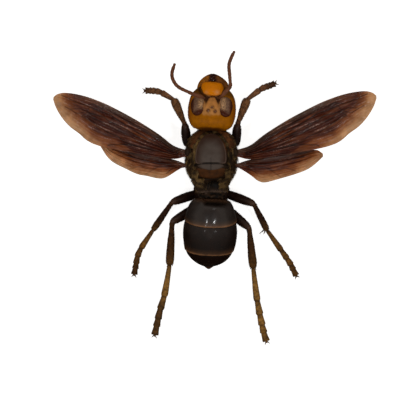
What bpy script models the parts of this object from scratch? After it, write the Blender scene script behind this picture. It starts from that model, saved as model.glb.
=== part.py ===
"""Life-size still model of an Asian giant hornet, standing on its six feet with the wings spread.

Every size below is in millimetres in the body frame: +X to the hornet's right, +Y towards
the head, +Z up, with the floor at Z 0 and the waist near X 0, Y 0. At the end the whole
animal is moved so that the origin is under the middle of its box, on the floor.
"""

import math

import bmesh
import bpy
from mathutils import Euler, Matrix, Vector

MM = 0.001
GAP = 0.3
FLOOR = 0.0

# Roundness of the solids.
BODY_SIDES = 28
LIMB_SIDES = 8
FINE_SIDES = 6

# Thorax sections from the collar to the waist: Y, half width, Z of the belly,
# Z of the widest level and Z of the back.
THORAX_STATIONS = (
    (15.1, 2.6, 8.2, 10.4, 12.2),
    (14.7, 3.7, 7.1, 10.5, 13.6),
    (13.7, 5.0, 5.9, 10.7, 14.9),
    (12.2, 5.6, 5.1, 10.9, 15.8),
    (10.2, 5.8, 4.7, 11.0, 16.3),
    (8.2, 5.9, 4.7, 11.0, 16.3),
    (6.4, 5.7, 5.0, 11.0, 15.6),
    (4.7, 5.0, 5.6, 10.6, 14.4),
    (3.2, 4.4, 6.5, 10.2, 13.1),
    (2.0, 3.9, 7.2, 9.9, 12.2),
    (1.35, 3.3, 7.8, 9.8, 11.6),
    (1.05, 2.3, 8.3, 9.7, 11.0),
)
THORAX_SQUARENESS = 2.3

# The shield on the back of the thorax: an oval seen from above, cut straight behind.
SCUTUM_CENTRE_Y = 9.4
SCUTUM_HALF_WIDTH = 3.95
SCUTUM_HALF_LENGTH = 5.7
SCUTUM_REAR = 7.6
SCUTUM_FLOOR = 12.6
# The bands behind it: Y of the front and rear edge, half width, Z of the underside.
SCUTELLUM_BAND = (7.25, 6.25, 3.6, 12.35)
METANOTUM_BAND = (5.95, 4.55, 3.3, 11.9)
PRONOTUM_REAR = 11.7
PROPODEUM_FRONT = 4.25

# Gaster: Y, Z of the axis, half width, half height, and how far the section leans back.
GASTER_LEAN = 2.4
GASTER_SEGMENTS = {
    "gaster_1": (
        (-0.3, 10.3, 2.6, 2.6, 0),
        (-0.5, 10.5, 3.9, 3.8, 0),
        (-1.0, 10.7, 4.75, 4.6, 2),
        (-2.6, 10.85, 5.45, 4.95, 10),
        (-4.7, 10.65, 5.95, 5.15, 20),
    ),
    "gaster_2": (
        (-5.02, 10.55, 5.8, 5.0, 20),
        (-6.2, 10.3, 6.15, 5.2, 20),
        (-8.4, 9.8, 6.3, 5.2, 20),
        (-10.2, 9.4, 6.1, 4.95, 20),
        (-11.6, 9.0, 5.75, 4.55, 20),
    ),
    "gaster_3": (
        (-11.92, 8.9, 5.5, 4.35, 20),
        (-12.9, 8.6, 5.1, 3.9, 20),
        (-13.9, 8.25, 4.3, 3.2, 20),
        (-14.7, 7.9, 3.3, 2.4, 20),
        (-15.3, 7.6, 1.9, 1.5, 20),
    ),
    "gaster_tip": (
        (-15.62, 7.45, 1.35, 1.05, 20),
        (-15.9, 7.3, 0.85, 0.7, 20),
        (-16.4, 7.1, 0.2, 0.2, 20),
    ),
}
PETIOLE_FROM = (0.0, 2.4, 9.9)
PETIOLE_TO = (0.0, 0.0, 9.9)
PETIOLE_RADIUS = 1.2

# Head, in its own frame: +X right, +Y to the mouth, +Z out of the face. The face is
# turned up to the sky, and the mouth end hangs lower than the crown by HEAD_TILT.
HEAD_CENTRE = (0.15, 21.15, 11.6)
HEAD_TILT = 18.0
HEAD_LEAN = 3.2
# Y, half width, Z of the back of the head and Z of the face.
HEAD_STATIONS = (
    (-5.75, 2.7, -0.9, 1.0),
    (-5.4, 3.9, -1.9, 1.9),
    (-4.6, 4.8, -2.7, 2.5),
    (-3.0, 5.4, -3.1, 2.9),
    (-0.8, 5.55, -3.2, 3.0),
    (1.2, 5.4, -3.1, 2.9),
    (2.6, 4.95, -2.8, 2.6),
    (3.6, 4.2, -2.4, 2.2),
    (4.4, 3.4, -2.0, 1.9),
    (4.9, 2.4, -1.6, 1.5),
)
HEAD_SQUARENESS = 2.5
EYE_CENTRE = (3.3, -1.2, 1.45)
EYE_HALF_SIZE = (1.65, 2.4, 1.8)
EYE_TOE_IN = 6.0
EYE_ROLL = 20.0
# The raised plate between the feelers, and the three small eyes on the forehead.
SHIELD_CENTRE = (0.0, -0.05, 2.75)
SHIELD_HALF_SIZE = (1.45, 1.3, 0.5)
OCELLI = ((-0.8, -2.3, 2.95), (0.8, -2.3, 2.95), (0.1, -1.35, 3.0))
OCELLUS_RADIUS = 0.32
CLYPEUS_CENTRE = (0.1, 3.25, 2.35)
CLYPEUS_SIZE = (5.3, 3.8, 2.6)
NECK_FROM = (0.0, 14.6, 9.6)
NECK_TO = (0.05, 17.6, 9.6)
NECK_RADIUS = 1.3

# Jaws in the head's frame: path of the left one from its hinge to its tip, half width
# and half thickness at each point. The right one is its mirror image, cut to meet it.
JAW_PATH = ((-2.75, 4.7, -0.6), (-2.3, 5.85, -0.6), (-1.4, 6.75, -0.5), (-0.2, 7.15, -0.4))
JAW_HALF_WIDTH = (0.95, 1.1, 1.0, 0.6)
JAW_HALF_THICKNESS = (1.0, 0.95, 0.75, 0.45)

# Feelers in the body frame: the first joint (scape), then the bends of the whip.
SCAPES = {
    "left": ((-1.62, 22.8, 15.2), (-4.75, 23.95, 16.4)),
    "right": ((1.85, 22.8, 15.2), (4.5, 25.65, 16.3)),
}
WHIPS = {
    "left": ((-4.75, 23.9, 16.4), (-7.5, 25.3, 16.2), (-8.75, 26.9, 15.6),
             (-9.05, 28.6, 14.7), (-8.4, 30.9, 13.6)),
    "right": ((4.5, 25.7, 16.3), (4.1, 28.0, 16.0), (4.0, 30.4, 15.2),
              (4.55, 32.2, 14.4), (5.3, 33.7, 13.6)),
}
SCAPE_RADIUS = 0.38
WHIP_RADIUS = 0.36

# Legs in the body frame. Each row is hip, trochanter, knee, ankle, then the foot's bends.
LEG_JOINTS = {
    "fore_left": ((-3.4, 12.9, 6.8), (-5.6, 12.2, 6.7), (-6.15, 17.0, 9.4), (-8.7, 22.85, 4.6),
                  (-11.9, 24.75, 2.3), (-14.2, 25.2, 0.42), (-15.5, 25.2, 0.3)),
    "fore_right": ((3.4, 12.9, 6.8), (5.6, 12.2, 6.7), (6.0, 17.0, 9.4), (8.3, 22.95, 4.6),
                   (11.6, 25.5, 2.3), (13.7, 26.4, 0.42), (14.9, 26.9, 0.3)),
    "mid_left": ((-2.4, 6.6, 5.6), (-2.7, 2.3, 4.4), (-9.1, -0.95, 9.4), (-13.6, -7.4, 3.6),
                 (-16.85, -12.4, 1.2), (-17.8, -16.2, 0.4), (-18.1, -17.9, 0.3)),
    "mid_right": ((2.4, 6.6, 5.6), (2.7, 2.1, 4.4), (9.75, -1.3, 9.4), (12.95, -7.45, 3.6),
                  (18.0, -14.6, 0.9), (19.1, -16.6, 0.38), (19.9, -18.2, 0.3)),
    "hind_left": ((-1.8, 2.75, 7.3), (-2.15, -1.45, 4.25), (-9.1, -5.5, 8.9), (-9.95, -15.5, 3.6),
                  (-10.85, -22.0, 1.4), (-12.1, -26.5, 0.6), (-12.9, -30.2, 0.38),
                  (-13.3, -32.1, 0.3)),
    "hind_right": ((1.8, 2.75, 7.3), (2.15, -1.45, 4.25), (8.7, -6.9, 8.9), (9.95, -16.2, 3.6),
                   (10.85, -22.5, 1.4), (11.4, -27.0, 0.6), (12.3, -31.6, 0.38),
                   (12.9, -33.6, 0.3)),
}
# Half widths: hip joint, thigh at its middle, knee, shin at its narrow and its wide end, foot.
LEG_HALF_WIDTHS = {
    "fore": (0.9, 1.08, 0.68, 0.58, 1.0, 0.55),
    "mid": (1.05, 0.9, 0.65, 0.56, 0.8, 0.5),
    "hind": (1.15, 1.0, 0.7, 0.58, 1.0, 0.55),
}
# Ends of the five foot joints, as shares of the foot's length, and their thickness.
FOOT_JOINT_ENDS = (0.46, 0.64, 0.78, 0.88, 1.0)
FOOT_TAPER = (1.0, 0.92, 0.9, 0.86, 0.95)
CLAW_LENGTH = 1.2
CLAW_RADIUS = 0.25
CLAW_SPREAD = 34.0
# Spurs at the end of each shin: length and the turn of each from the shin's own direction,
# towards the body.
SPUR_RADIUS = 0.25
SPURS = {
    "fore": ((1.4, 40.0),),
    "mid": ((2.0, 48.0), (2.3, 80.0)),
    "hind": ((1.7, -28.0), (1.5, 38.0)),
}

# Wings, in a frame at the wing root with +X out to the tip and +Y forward, as the right
# ones lie. The left ones are mirrored. Each edge runs from the root to the tip.
WING_THICKNESS = 0.5
FOREWING_FRONT = ((0.2, 0.9), (3.2, 1.9), (6.6, 4.5), (11.4, 7.5), (16.4, 10.2), (20.7, 12.2),
                  (25.0, 13.6), (28.8, 14.2), (30.8, 13.9), (31.8, 13.2))
FOREWING_REAR = ((0.5, -0.8), (3.5, -1.3), (10.5, -0.3), (17.9, 0.95), (21.7, 1.9), (23.9, 3.0),
                 (25.6, 4.5), (27.9, 6.2), (29.8, 8.3), (31.2, 10.6), (31.9, 12.6))
HINDWING_FRONT = ((0.0, 0.5), (3.4, 1.5), (10.5, 2.6), (17.2, 3.6), (19.1, 3.0), (19.5, 2.5))
HINDWING_REAR = ((0.3, -0.6), (3.0, -2.3), (4.6, -3.5), (6.3, -3.85), (9.6, -3.0), (13.9, -1.7),
                 (16.4, -0.6), (18.4, 1.0), (19.5, 2.1))
# Root in the body frame, turn about Z in degrees, length against the right wing.
WINGS = {
    "forewing_left": ((-5.75, 10.2, 12.95), -0.5, 0.96),
    "forewing_right": ((5.75, 10.2, 12.95), 0.0, 1.005),
    "hindwing_left": ((-6.1, 7.45, 11.75), -1.6, 0.955),
    "hindwing_right": ((6.1, 7.45, 11.75), 0.0, 1.0),
}
WING_RISE = 2.0
WING_STATIONS = 12
# Main lengthwise veins, as shares of the way from the front edge to the rear edge at the
# root, half way out and at the tip, and the share of the length where each one ends.
VEINS = {
    "forewing": ((0.16, 0.07, 0.08, 0.8), (0.38, 0.3, 0.33, 0.72), (0.62, 0.56, 0.6, 0.76),
                 (0.85, 0.8, 0.82, 0.5)),
    "hindwing": ((0.2, 0.1, 0.14, 0.75), (0.5, 0.42, 0.45, 0.8), (0.8, 0.72, 0.74, 0.55)),
}
# Cross veins: share of the length, then the two lengthwise veins that each one joins.
CROSS_VEINS = {
    "forewing": ((0.36, 2, 3), (0.5, 1, 2), (0.62, 0, 1)),
    "hindwing": ((0.48, 0, 1),),
}
VEIN_HALF_WIDTH = 0.3
VEIN_HEIGHT = 0.22
VEIN_FADE = 0.12
TEGULA_CENTRE = (6.0, 10.4, 14.35)
TEGULA_HALF_SIZE = (0.95, 1.25, 0.6)


def millimetres(point):
    """A point in millimetres as a vector in metres."""
    return Vector(point) * MM


def clear_scene():
    """Remove whatever the opened file holds."""
    for old in list(bpy.data.objects):
        bpy.data.objects.remove(old, do_unlink=True)


def new_collection(name):
    """A collection linked to the scene."""
    collection = bpy.data.collections.new(name)
    bpy.context.scene.collection.children.link(collection)
    return collection


def chitin(name, colour, roughness):
    """A plain Principled material for one kind of shell."""
    material = bpy.data.materials.new(name)
    material.use_nodes = True
    shader = material.node_tree.nodes["Principled BSDF"]
    shader.inputs["Base Color"].default_value = (*colour, 1.0)
    shader.inputs["Roughness"].default_value = roughness
    shader.inputs["Metallic"].default_value = 0.0
    material.diffuse_color = (*colour, 1.0)
    return material


def add_object(name, mesh, material, parent, collection):
    """One named, smooth-shaded object under its parent."""
    mesh.polygons.foreach_set("use_smooth", [True] * len(mesh.polygons))
    mesh.set_sharp_from_angle(angle=math.radians(40))
    if material:
        mesh.materials.append(material)
    piece = bpy.data.objects.new(name, mesh)
    collection.objects.link(piece)
    piece.parent = parent
    return piece


def add_frame(name, location, rotation, parent, collection):
    """An empty that carries the pieces of one body region."""
    frame = bpy.data.objects.new(name, None)
    frame.empty_display_size = 3 * MM
    frame.location = millimetres(location)
    frame.rotation_euler = Euler([math.radians(angle) for angle in rotation])
    frame.parent = parent
    collection.objects.link(frame)
    return frame


def oval(centre, side, up, half_width, above, below, sides, squareness=2.0):
    """One closed section: a superellipse that may be deeper below its middle than above."""
    ring = []
    for index in range(sides):
        angle = 2 * math.pi * (index + 0.5) / sides
        across = math.copysign(abs(math.cos(angle)) ** (2 / squareness), math.cos(angle))
        upward = math.copysign(abs(math.sin(angle)) ** (2 / squareness), math.sin(angle))
        height = above if upward > 0 else below
        ring.append(centre + side * (across * half_width) + up * (upward * height))
    return ring


def loft(name, rings):
    """A closed mesh drawn through sections with the same number of points."""
    shape = bmesh.new()
    loops = [[shape.verts.new(point * MM) for point in ring] for ring in rings]
    count = len(rings[0])
    for near, far in zip(loops, loops[1:]):
        for index in range(count):
            following = (index + 1) % count
            shape.faces.new((near[index], near[following], far[following], far[index]))
    shape.faces.new(reversed(loops[0]))
    shape.faces.new(loops[-1])
    bmesh.ops.recalc_face_normals(shape, faces=shape.faces)
    mesh = bpy.data.meshes.new(name)
    shape.to_mesh(mesh)
    shape.free()
    return mesh


def curve_through(points, steps):
    """A smooth path through the given points, as evenly stepped spans."""
    knots = [Vector(point) for point in points]
    before = knots[0] * 2 - knots[1]
    after = knots[-1] * 2 - knots[-2]
    padded = [before, *knots, after]
    path = []
    for a, b, c, d in zip(padded, padded[1:], padded[2:], padded[3:]):
        for step in range(steps):
            t = step / steps
            bend = (b * 2 + (c - a) * t + (a * 2 - b * 5 + c * 4 - d) * t ** 2
                    + (b * 3 - a - c * 3 + d) * t ** 3)
            path.append(bend / 2)
    path.append(knots[-1])
    return path


def along(path, share):
    """The point at a share of a path's length."""
    lengths = [(b - a).length for a, b in zip(path, path[1:])]
    left = share * sum(lengths)
    for start, end, length in zip(path, path[1:], lengths):
        if left <= length:
            return start.lerp(end, left / length)
        left -= length
    return path[-1].copy()


def limb(name, path, half_widths, half_heights, sides=LIMB_SIDES, grow=0.0):
    """A tapering tube along a path, with its own half width and height at each point."""
    rings = []
    last = len(path) - 1
    for index, point in enumerate(path):
        forward = (path[min(index + 1, last)] - path[max(index - 1, 0)]).normalized()
        side = forward.cross(Vector((0, 0, 1))).normalized()
        up = side.cross(forward)
        shift = -grow if index == 0 else grow if index == last else 0.0
        height = half_heights[index] + grow
        rings.append(oval(point + forward * shift, side, up, half_widths[index] + grow, height,
                          height, sides))
    return loft(name, rings)


def ellipsoid(name, half_size, segments, rings):
    """A closed egg made from a sphere primitive."""
    shape = bmesh.new()
    bmesh.ops.create_uvsphere(shape, u_segments=segments, v_segments=rings, radius=1.0)
    bmesh.ops.scale(shape, vec=millimetres(half_size), verts=shape.verts)
    mesh = bpy.data.meshes.new(name)
    shape.to_mesh(mesh)
    shape.free()
    return mesh


def raised_egg(name, centre, half_size, segments, rings):
    """An egg moved to its centre, ready to be joined to a larger piece."""
    mesh = ellipsoid(name, half_size, segments, rings)
    mesh.transform(Matrix.Translation(millimetres(centre)))
    return mesh


def box(name, low, high):
    """A block between two corners."""
    shape = bmesh.new()
    bmesh.ops.create_cube(shape, size=1.0)
    low, high = millimetres(low), millimetres(high)
    bmesh.ops.scale(shape, vec=high - low, verts=shape.verts)
    bmesh.ops.translate(shape, vec=(high + low) / 2, verts=shape.verts)
    mesh = bpy.data.meshes.new(name)
    shape.to_mesh(mesh)
    shape.free()
    return mesh


def shield_block(name, grow, high):
    """An upright block with the outline of the thorax shield: an oval cut straight behind."""
    low = SCUTUM_FLOOR - grow
    shape = bmesh.new()
    bmesh.ops.create_cone(shape, cap_ends=True, segments=BODY_SIDES, radius1=1.0, radius2=1.0,
                          depth=1.0)
    size = (SCUTUM_HALF_WIDTH + grow, SCUTUM_HALF_LENGTH + grow, high - low)
    bmesh.ops.scale(shape, vec=millimetres(size), verts=shape.verts)
    middle = (0, SCUTUM_CENTRE_Y, (high + low) / 2)
    bmesh.ops.translate(shape, vec=millimetres(middle), verts=shape.verts)
    for vertex in shape.verts:
        vertex.co.y = max(vertex.co.y, (SCUTUM_REAR - grow) * MM)
    mesh = bpy.data.meshes.new(name)
    shape.to_mesh(mesh)
    shape.free()
    return mesh


def boolean(piece, operation, helper, solver="EXACT"):
    """Cut or trim a piece with a helper object."""
    modifier = piece.modifiers.new(operation.title(), "BOOLEAN")
    modifier.operation = operation
    modifier.solver = solver
    modifier.object = helper


def largest_surface(mesh):
    """Keep only the largest closed surface of a mesh."""
    shape = bmesh.new()
    shape.from_mesh(mesh)
    unseen = set(shape.faces)
    islands = []
    while unseen:
        island = set()
        edge_of_island = [unseen.pop()]
        while edge_of_island:
            face = edge_of_island.pop()
            island.add(face)
            for edge in face.edges:
                for neighbour in edge.link_faces:
                    if neighbour in unseen:
                        unseen.remove(neighbour)
                        edge_of_island.append(neighbour)
        islands.append(island)
    islands.sort(key=lambda faces: sum(face.calc_area() for face in faces), reverse=True)
    for island in islands[1:]:
        bmesh.ops.delete(shape, geom=list(island), context="FACES")
    shape.to_mesh(mesh)
    shape.free()


def apply_modifiers(piece):
    """Turn a piece's modifiers into its mesh and keep its largest closed surface."""
    bpy.context.view_layer.update()
    evaluated = piece.evaluated_get(bpy.context.evaluated_depsgraph_get())
    mesh = bpy.data.meshes.new_from_object(evaluated)
    largest_surface(mesh)
    piece.modifiers.clear()
    old = piece.data
    piece.data = mesh
    mesh.name = old.name
    bpy.data.meshes.remove(old)


def fuse(piece, extras):
    """Join closed helper meshes to a piece in one union, and remove them."""
    rooted = bpy.data.collections.new("rooted")
    bpy.context.scene.collection.children.link(rooted)
    for mesh in extras:
        item = bpy.data.objects.new("rooted", mesh)
        item.matrix_local = piece.matrix_local
        item.parent = piece.parent
        rooted.objects.link(item)
    modifier = piece.modifiers.new("Union", "BOOLEAN")
    modifier.operation = "UNION"
    modifier.solver = "EXACT"
    modifier.operand_type = "COLLECTION"
    modifier.collection = rooted
    apply_modifiers(piece)
    for item in list(rooted.objects):
        bpy.data.objects.remove(item, do_unlink=True)
    bpy.data.collections.remove(rooted)


def thorn(name, root, direction, length, radius, droop):
    """A claw or spur: a short tapering cone that curves down towards its tip."""
    direction = direction.normalized()
    down = Vector((0, 0, -droop * length))
    path = [root, root + direction * length * 0.5 + down * 0.2, root + direction * length + down]
    widths = [radius, radius * 0.75, radius * 0.25]
    return limb(name, path, widths, widths, FINE_SIDES)


def cut_at_floor(piece):
    """Cut a foot level with the floor, which leaves the small flats that it stands on."""
    shape = bmesh.new()
    shape.from_mesh(piece.data)
    bmesh.ops.triangulate(shape, faces=shape.faces)
    everything = shape.verts[:] + shape.edges[:] + shape.faces[:]
    cut = bmesh.ops.bisect_plane(shape, geom=everything, dist=1e-7, plane_co=(0, 0, FLOOR),
                                 plane_no=(0, 0, 1), clear_inner=True)
    edges = [item for item in cut["geom_cut"] if isinstance(item, bmesh.types.BMEdge)]
    bmesh.ops.holes_fill(shape, edges=edges)
    bmesh.ops.recalc_face_normals(shape, faces=shape.faces)
    shape.to_mesh(piece.data)
    shape.free()


def make_helper(name, mesh, parent, collection):
    """A guide that cuts or trims other pieces and isn't part of the model."""
    helper = bpy.data.objects.new(name, mesh)
    collection.objects.link(helper)
    helper.parent = parent
    helper.hide_render = True
    helper.display_type = "WIRE"
    return helper


def thorax_mesh(name, grow=0.0):
    """The whole thorax as one form, before it is parted, or grown to clear its neighbours."""
    front, rear = THORAX_STATIONS[0][0], THORAX_STATIONS[-1][0]
    rings = []
    for y, half_width, belly, widest, back in THORAX_STATIONS:
        shift = grow if y == front else -grow if y == rear else 0.0
        centre = Vector((0, y + shift, widest))
        rings.append(oval(centre, Vector((1, 0, 0)), Vector((0, 0, 1)), half_width + grow,
                          back - widest + grow, widest - belly + grow, BODY_SIDES,
                          THORAX_SQUARENESS))
    return loft(name, rings)


def head_mesh(name, grow=0.0):
    """The head capsule in its own frame, or grown to clear its neighbours."""
    crown, mouth = HEAD_STATIONS[0][0], HEAD_STATIONS[-1][0]
    rings = []
    for y, half_width, back, face in HEAD_STATIONS:
        shift = grow if y == mouth else -grow if y == crown else 0.0
        middle = (back + face) / 2
        rings.append(oval(Vector((0, y + shift, middle)), Vector((1, 0, 0)), Vector((0, 0, 1)),
                          half_width + grow, face - middle + grow, middle - back + grow,
                          BODY_SIDES, HEAD_SQUARENESS))
    return loft(name, rings)


def trim_to(piece, *rooms):
    """Cut a piece back to the rooms that its neighbours need."""
    for room in rooms:
        boolean(piece, "DIFFERENCE", room)
    apply_modifiers(piece)


def build_thorax(hornet, parts, helpers, materials):
    """The thorax, modelled whole and parted with thin cuts into its six plates."""
    wide = 9.0
    high = 20.0

    def band(name, band_size, grow):
        front, rear, half_width, underside = band_size
        mesh = box(name, (-half_width - grow, rear - grow, underside - grow),
                   (half_width + grow, front + grow, high))
        return make_helper(name, mesh, hornet, helpers)

    def slab(name, rear, front):
        mesh = box(name, (-wide, rear, 0), (wide, front, high))
        return make_helper(name, mesh, hornet, helpers)

    shield_outline = make_helper("shield_outline", shield_block("shield_outline", 0, high),
                                 hornet, helpers)
    shield_room = make_helper("shield_room", shield_block("shield_room", GAP, high), hornet,
                              helpers)
    scutellum_room = band("scutellum_room", SCUTELLUM_BAND, GAP)
    metanotum_room = band("metanotum_room", METANOTUM_BAND, GAP)
    plates = {
        "mesoscutum": (shield_outline, ()),
        "scutellum": (band("scutellum_outline", SCUTELLUM_BAND, 0), ()),
        "metanotum": (band("metanotum_outline", METANOTUM_BAND, 0), ()),
        "pronotum": (slab("collar_slab", PRONOTUM_REAR, 2 * high), (shield_room,)),
        "mesothorax": (slab("middle_slab", PROPODEUM_FRONT + GAP, PRONOTUM_REAR - GAP),
                       (shield_room, scutellum_room, metanotum_room)),
        "propodeum": (slab("rear_slab", -wide, PROPODEUM_FRONT), ()),
    }
    shell_of = {"mesoscutum": "satin", "scutellum": "satin", "metanotum": "russet"}
    for name, (outline, rooms) in plates.items():
        plate = add_object(name, thorax_mesh(name), materials[shell_of.get(name, "dark")],
                           hornet, parts)
        # The exact solver loses the middle plate where several rooms share their edges.
        boolean(plate, "INTERSECT", outline, "MANIFOLD")
        for room in rooms:
            boolean(plate, "DIFFERENCE", room, "MANIFOLD")
        apply_modifiers(plate)


def build_gaster(hornet, parts, materials, thorax_room):
    """The waist and the four sections of the gaster that show, each drawn through its rings."""
    lean = add_frame("gaster_frame", (0, 0, 0), (0, 0, -GASTER_LEAN), hornet, parts)
    for name, stations in GASTER_SEGMENTS.items():
        rings = []
        for y, z, half_width, half_height, degrees in stations:
            tilt = math.radians(degrees)
            up = Vector((0, -math.sin(tilt), math.cos(tilt)))
            rings.append(oval(Vector((0, y, z)), Vector((1, 0, 0)), up, half_width,
                              half_height, half_height, BODY_SIDES, 2.1))
        shell = materials["russet"] if name == "gaster_tip" else materials["gloss"]
        add_object(name, loft(name, rings), shell, lean, parts)
    stalk = [Vector(PETIOLE_FROM), Vector(PETIOLE_TO)]
    radii = [PETIOLE_RADIUS, PETIOLE_RADIUS]
    petiole = add_object("petiole", limb("petiole", stalk, radii, radii, 12), materials["dark"],
                         hornet, parts)
    trim_to(petiole, thorax_room)


def build_eyes(head_frame, parts, helpers, materials):
    """Both eyes, and the rooms that they sit in."""
    rooms = []
    for side, sign in (("left", -1), ("right", 1)):
        centre = (sign * EYE_CENTRE[0], EYE_CENTRE[1], EYE_CENTRE[2])
        eye = add_object(f"eye_{side}", ellipsoid(f"eye_{side}", EYE_HALF_SIZE, 20, 12),
                         materials["eye"], head_frame, parts)
        grown = [size + GAP for size in EYE_HALF_SIZE]
        room = make_helper(f"eye_room_{side}", ellipsoid(f"eye_room_{side}", grown, 20, 12),
                           head_frame, helpers)
        for piece in (eye, room):
            piece.location = millimetres(centre)
            piece.rotation_euler = (0, math.radians(EYE_ROLL) * sign, math.radians(EYE_TOE_IN) * sign)
        rooms.append(room)
    return rooms


def rounded_block(name, size):
    """A block with soft corners, from a cube cage with Subdivision Surface."""
    shape = bmesh.new()
    bmesh.ops.create_cube(shape, size=1.0)
    bmesh.ops.scale(shape, vec=millimetres(size), verts=shape.verts)
    bmesh.ops.subdivide_edges(shape, edges=shape.edges, cuts=1, use_grid_fill=True)
    mesh = bpy.data.meshes.new(name)
    shape.to_mesh(mesh)
    shape.free()
    return mesh


def soften(piece, levels):
    """Subdivision Surface, the same in the viewport and the render."""
    modifier = piece.modifiers.new("Subdivision", "SUBSURF")
    modifier.levels = levels
    modifier.render_levels = levels


def build_head(hornet, parts, helpers, materials, thorax_room):
    """The head capsule with its eyes, face plate, jaws and neck."""
    frame = add_frame("head_frame", HEAD_CENTRE, (-HEAD_TILT, 0, -HEAD_LEAN), hornet, parts)
    head = add_object("head", head_mesh("head"), materials["orange"], frame, parts)
    head_room = make_helper("head_room", head_mesh("head_room", GAP), frame, helpers)
    bumps = [raised_egg("shield", SHIELD_CENTRE, SHIELD_HALF_SIZE, 14, 8)]
    for centre in OCELLI:
        bumps.append(raised_egg("ocellus", centre, [OCELLUS_RADIUS] * 3, 8, 6))
    fuse(head, bumps)
    rooms = build_eyes(frame, parts, helpers, materials)

    clypeus = add_object("clypeus", rounded_block("clypeus", CLYPEUS_SIZE), materials["face"],
                         frame, parts)
    grown = [size + 2 * GAP for size in CLYPEUS_SIZE]
    plate_room = make_helper("clypeus_room", rounded_block("clypeus_room", grown), frame, helpers)
    for piece in (clypeus, plate_room):
        piece.location = millimetres(CLYPEUS_CENTRE)
        soften(piece, 1)
    trim_to(head, *rooms, plate_room)

    for side, sign in (("left", 1), ("right", -1)):
        path = [Vector((sign * x, y, z)) for x, y, z in JAW_PATH]
        path = curve_through(path, 2)
        widths = spread(JAW_HALF_WIDTH, len(path))
        depths = spread(JAW_HALF_THICKNESS, len(path))
        jaw = add_object(f"mandible_{side}", limb(f"mandible_{side}", path, widths, depths, 10),
                         materials["jaw"], frame, parts)
        trim_to(jaw, head_room, plate_room)

    path = [Vector(NECK_FROM), Vector(NECK_TO)]
    neck = add_object("neck", limb("neck", path, [NECK_RADIUS] * 2, [NECK_RADIUS] * 2, 12),
                      materials["dark"], hornet, parts)
    trim_to(neck, head_room, thorax_room)
    return head_room


def spread(values, count):
    """A short list of sizes stretched evenly over a number of path points."""
    stretched = []
    for index in range(count):
        place = index * (len(values) - 1) / (count - 1)
        low = min(int(place), len(values) - 2)
        stretched.append(values[low] + (values[low + 1] - values[low]) * (place - low))
    return stretched


def build_feelers(hornet, parts, helpers, materials, head_room):
    """Both antennae: a stout first joint and a jointed whip."""
    for side in ("left", "right"):
        start, end = (Vector(point) for point in SCAPES[side])
        path = [start.lerp(end, share) for share in (0, 0.15, 0.6, 1.0)]
        widths = [SCAPE_RADIUS * share for share in (0.7, 0.9, 1.0, 0.95)]
        scape = add_object(f"scape_{side}", limb(f"scape_{side}", path, widths, widths),
                           materials["feeler"], hornet, parts)
        trim_to(scape, head_room)
        grown = limb(f"scape_room_{side}", path, widths, widths, LIMB_SIDES, GAP)
        scape_room = make_helper(f"scape_room_{side}", grown, hornet, helpers)
        path = curve_through(WHIPS[side], 4)
        widths = [WHIP_RADIUS * min(1.0, 0.8 + 0.1 * index) for index in range(len(path))]
        widths[-2:] = [WHIP_RADIUS * 0.85, WHIP_RADIUS * 0.45]
        whip = add_object(f"flagellum_{side}", limb(f"flagellum_{side}", path, widths, widths),
                          materials["feeler"], hornet, parts)
        trim_to(whip, scape_room)


def build_leg(name, joints, half_widths, hornet, parts, helpers, materials, thorax_room):
    """One leg: hip joint, thigh, shin and five-jointed foot, each cut clear of the one before."""
    hip, trochanter, knee, ankle = (Vector(point) for point in joints[:4])
    hip_w, femur_w, knee_w, shin_narrow, shin_wide, foot_w = half_widths

    def segment(part, path, widths, flatness, shell, room):
        """One part of the leg, trimmed to the room of the part before it, and its own room."""
        heights = [width * flatness for width in widths]
        full_name = f"{name}_{part}"
        piece = add_object(full_name, limb(full_name, path, widths, heights), materials[shell],
                           hornet, parts)
        trim_to(piece, room)
        grown = limb(f"{full_name}_room", path, widths, heights, LIMB_SIDES, GAP)
        return piece, make_helper(f"{full_name}_room", grown, hornet, helpers)

    path = [hip.lerp(trochanter, share) for share in (0, 0.4, 0.8, 1.0)]
    widths = [hip_w, hip_w, hip_w * 0.8, hip_w * 0.45]
    _, coxa_room = segment("coxa", path, widths, 1.0, "leg", thorax_room)

    path = [trochanter.lerp(knee, share) for share in (0, 0.12, 0.45, 0.85, 0.96, 1.02)]
    widths = [femur_w * 0.55, femur_w * 0.8, femur_w, femur_w * 0.9, knee_w, knee_w * 0.5]
    _, femur_room = segment("femur", path, widths, 1.05, "leg", coxa_room)

    path = [knee.lerp(ankle, share) for share in (0, 0.12, 0.55, 0.85, 0.97, 1.0)]
    widths = [shin_narrow * 0.8, shin_narrow, (shin_narrow + shin_wide) * 0.52, shin_wide,
              shin_wide * 0.8, shin_wide * 0.5]
    tibia, tibia_room = segment("tibia", path, widths, 0.85, "shin", femur_room)

    bends = curve_through([ankle, *(Vector(point) for point in joints[4:])], 6)
    path = [bends[0]]
    widths = [foot_w * 0.6]
    begin = 0.0
    for finish, taper in zip(FOOT_JOINT_ENDS, FOOT_TAPER):
        length = finish - begin
        path += [along(bends, begin + length * 0.3), along(bends, finish - length * 0.06)]
        widths += [foot_w * taper * 0.82, foot_w * taper]
        if finish < 1.0:
            path.append(along(bends, finish + 0.004))
            widths.append(foot_w * taper * 0.62)
        begin = finish
    foot, foot_room = segment("tarsus", path, widths, 1.0, "foot", tibia_room)
    add_claws(foot, path)
    add_spurs(tibia, name.split("_")[0], knee, ankle, foot_room)


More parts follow.
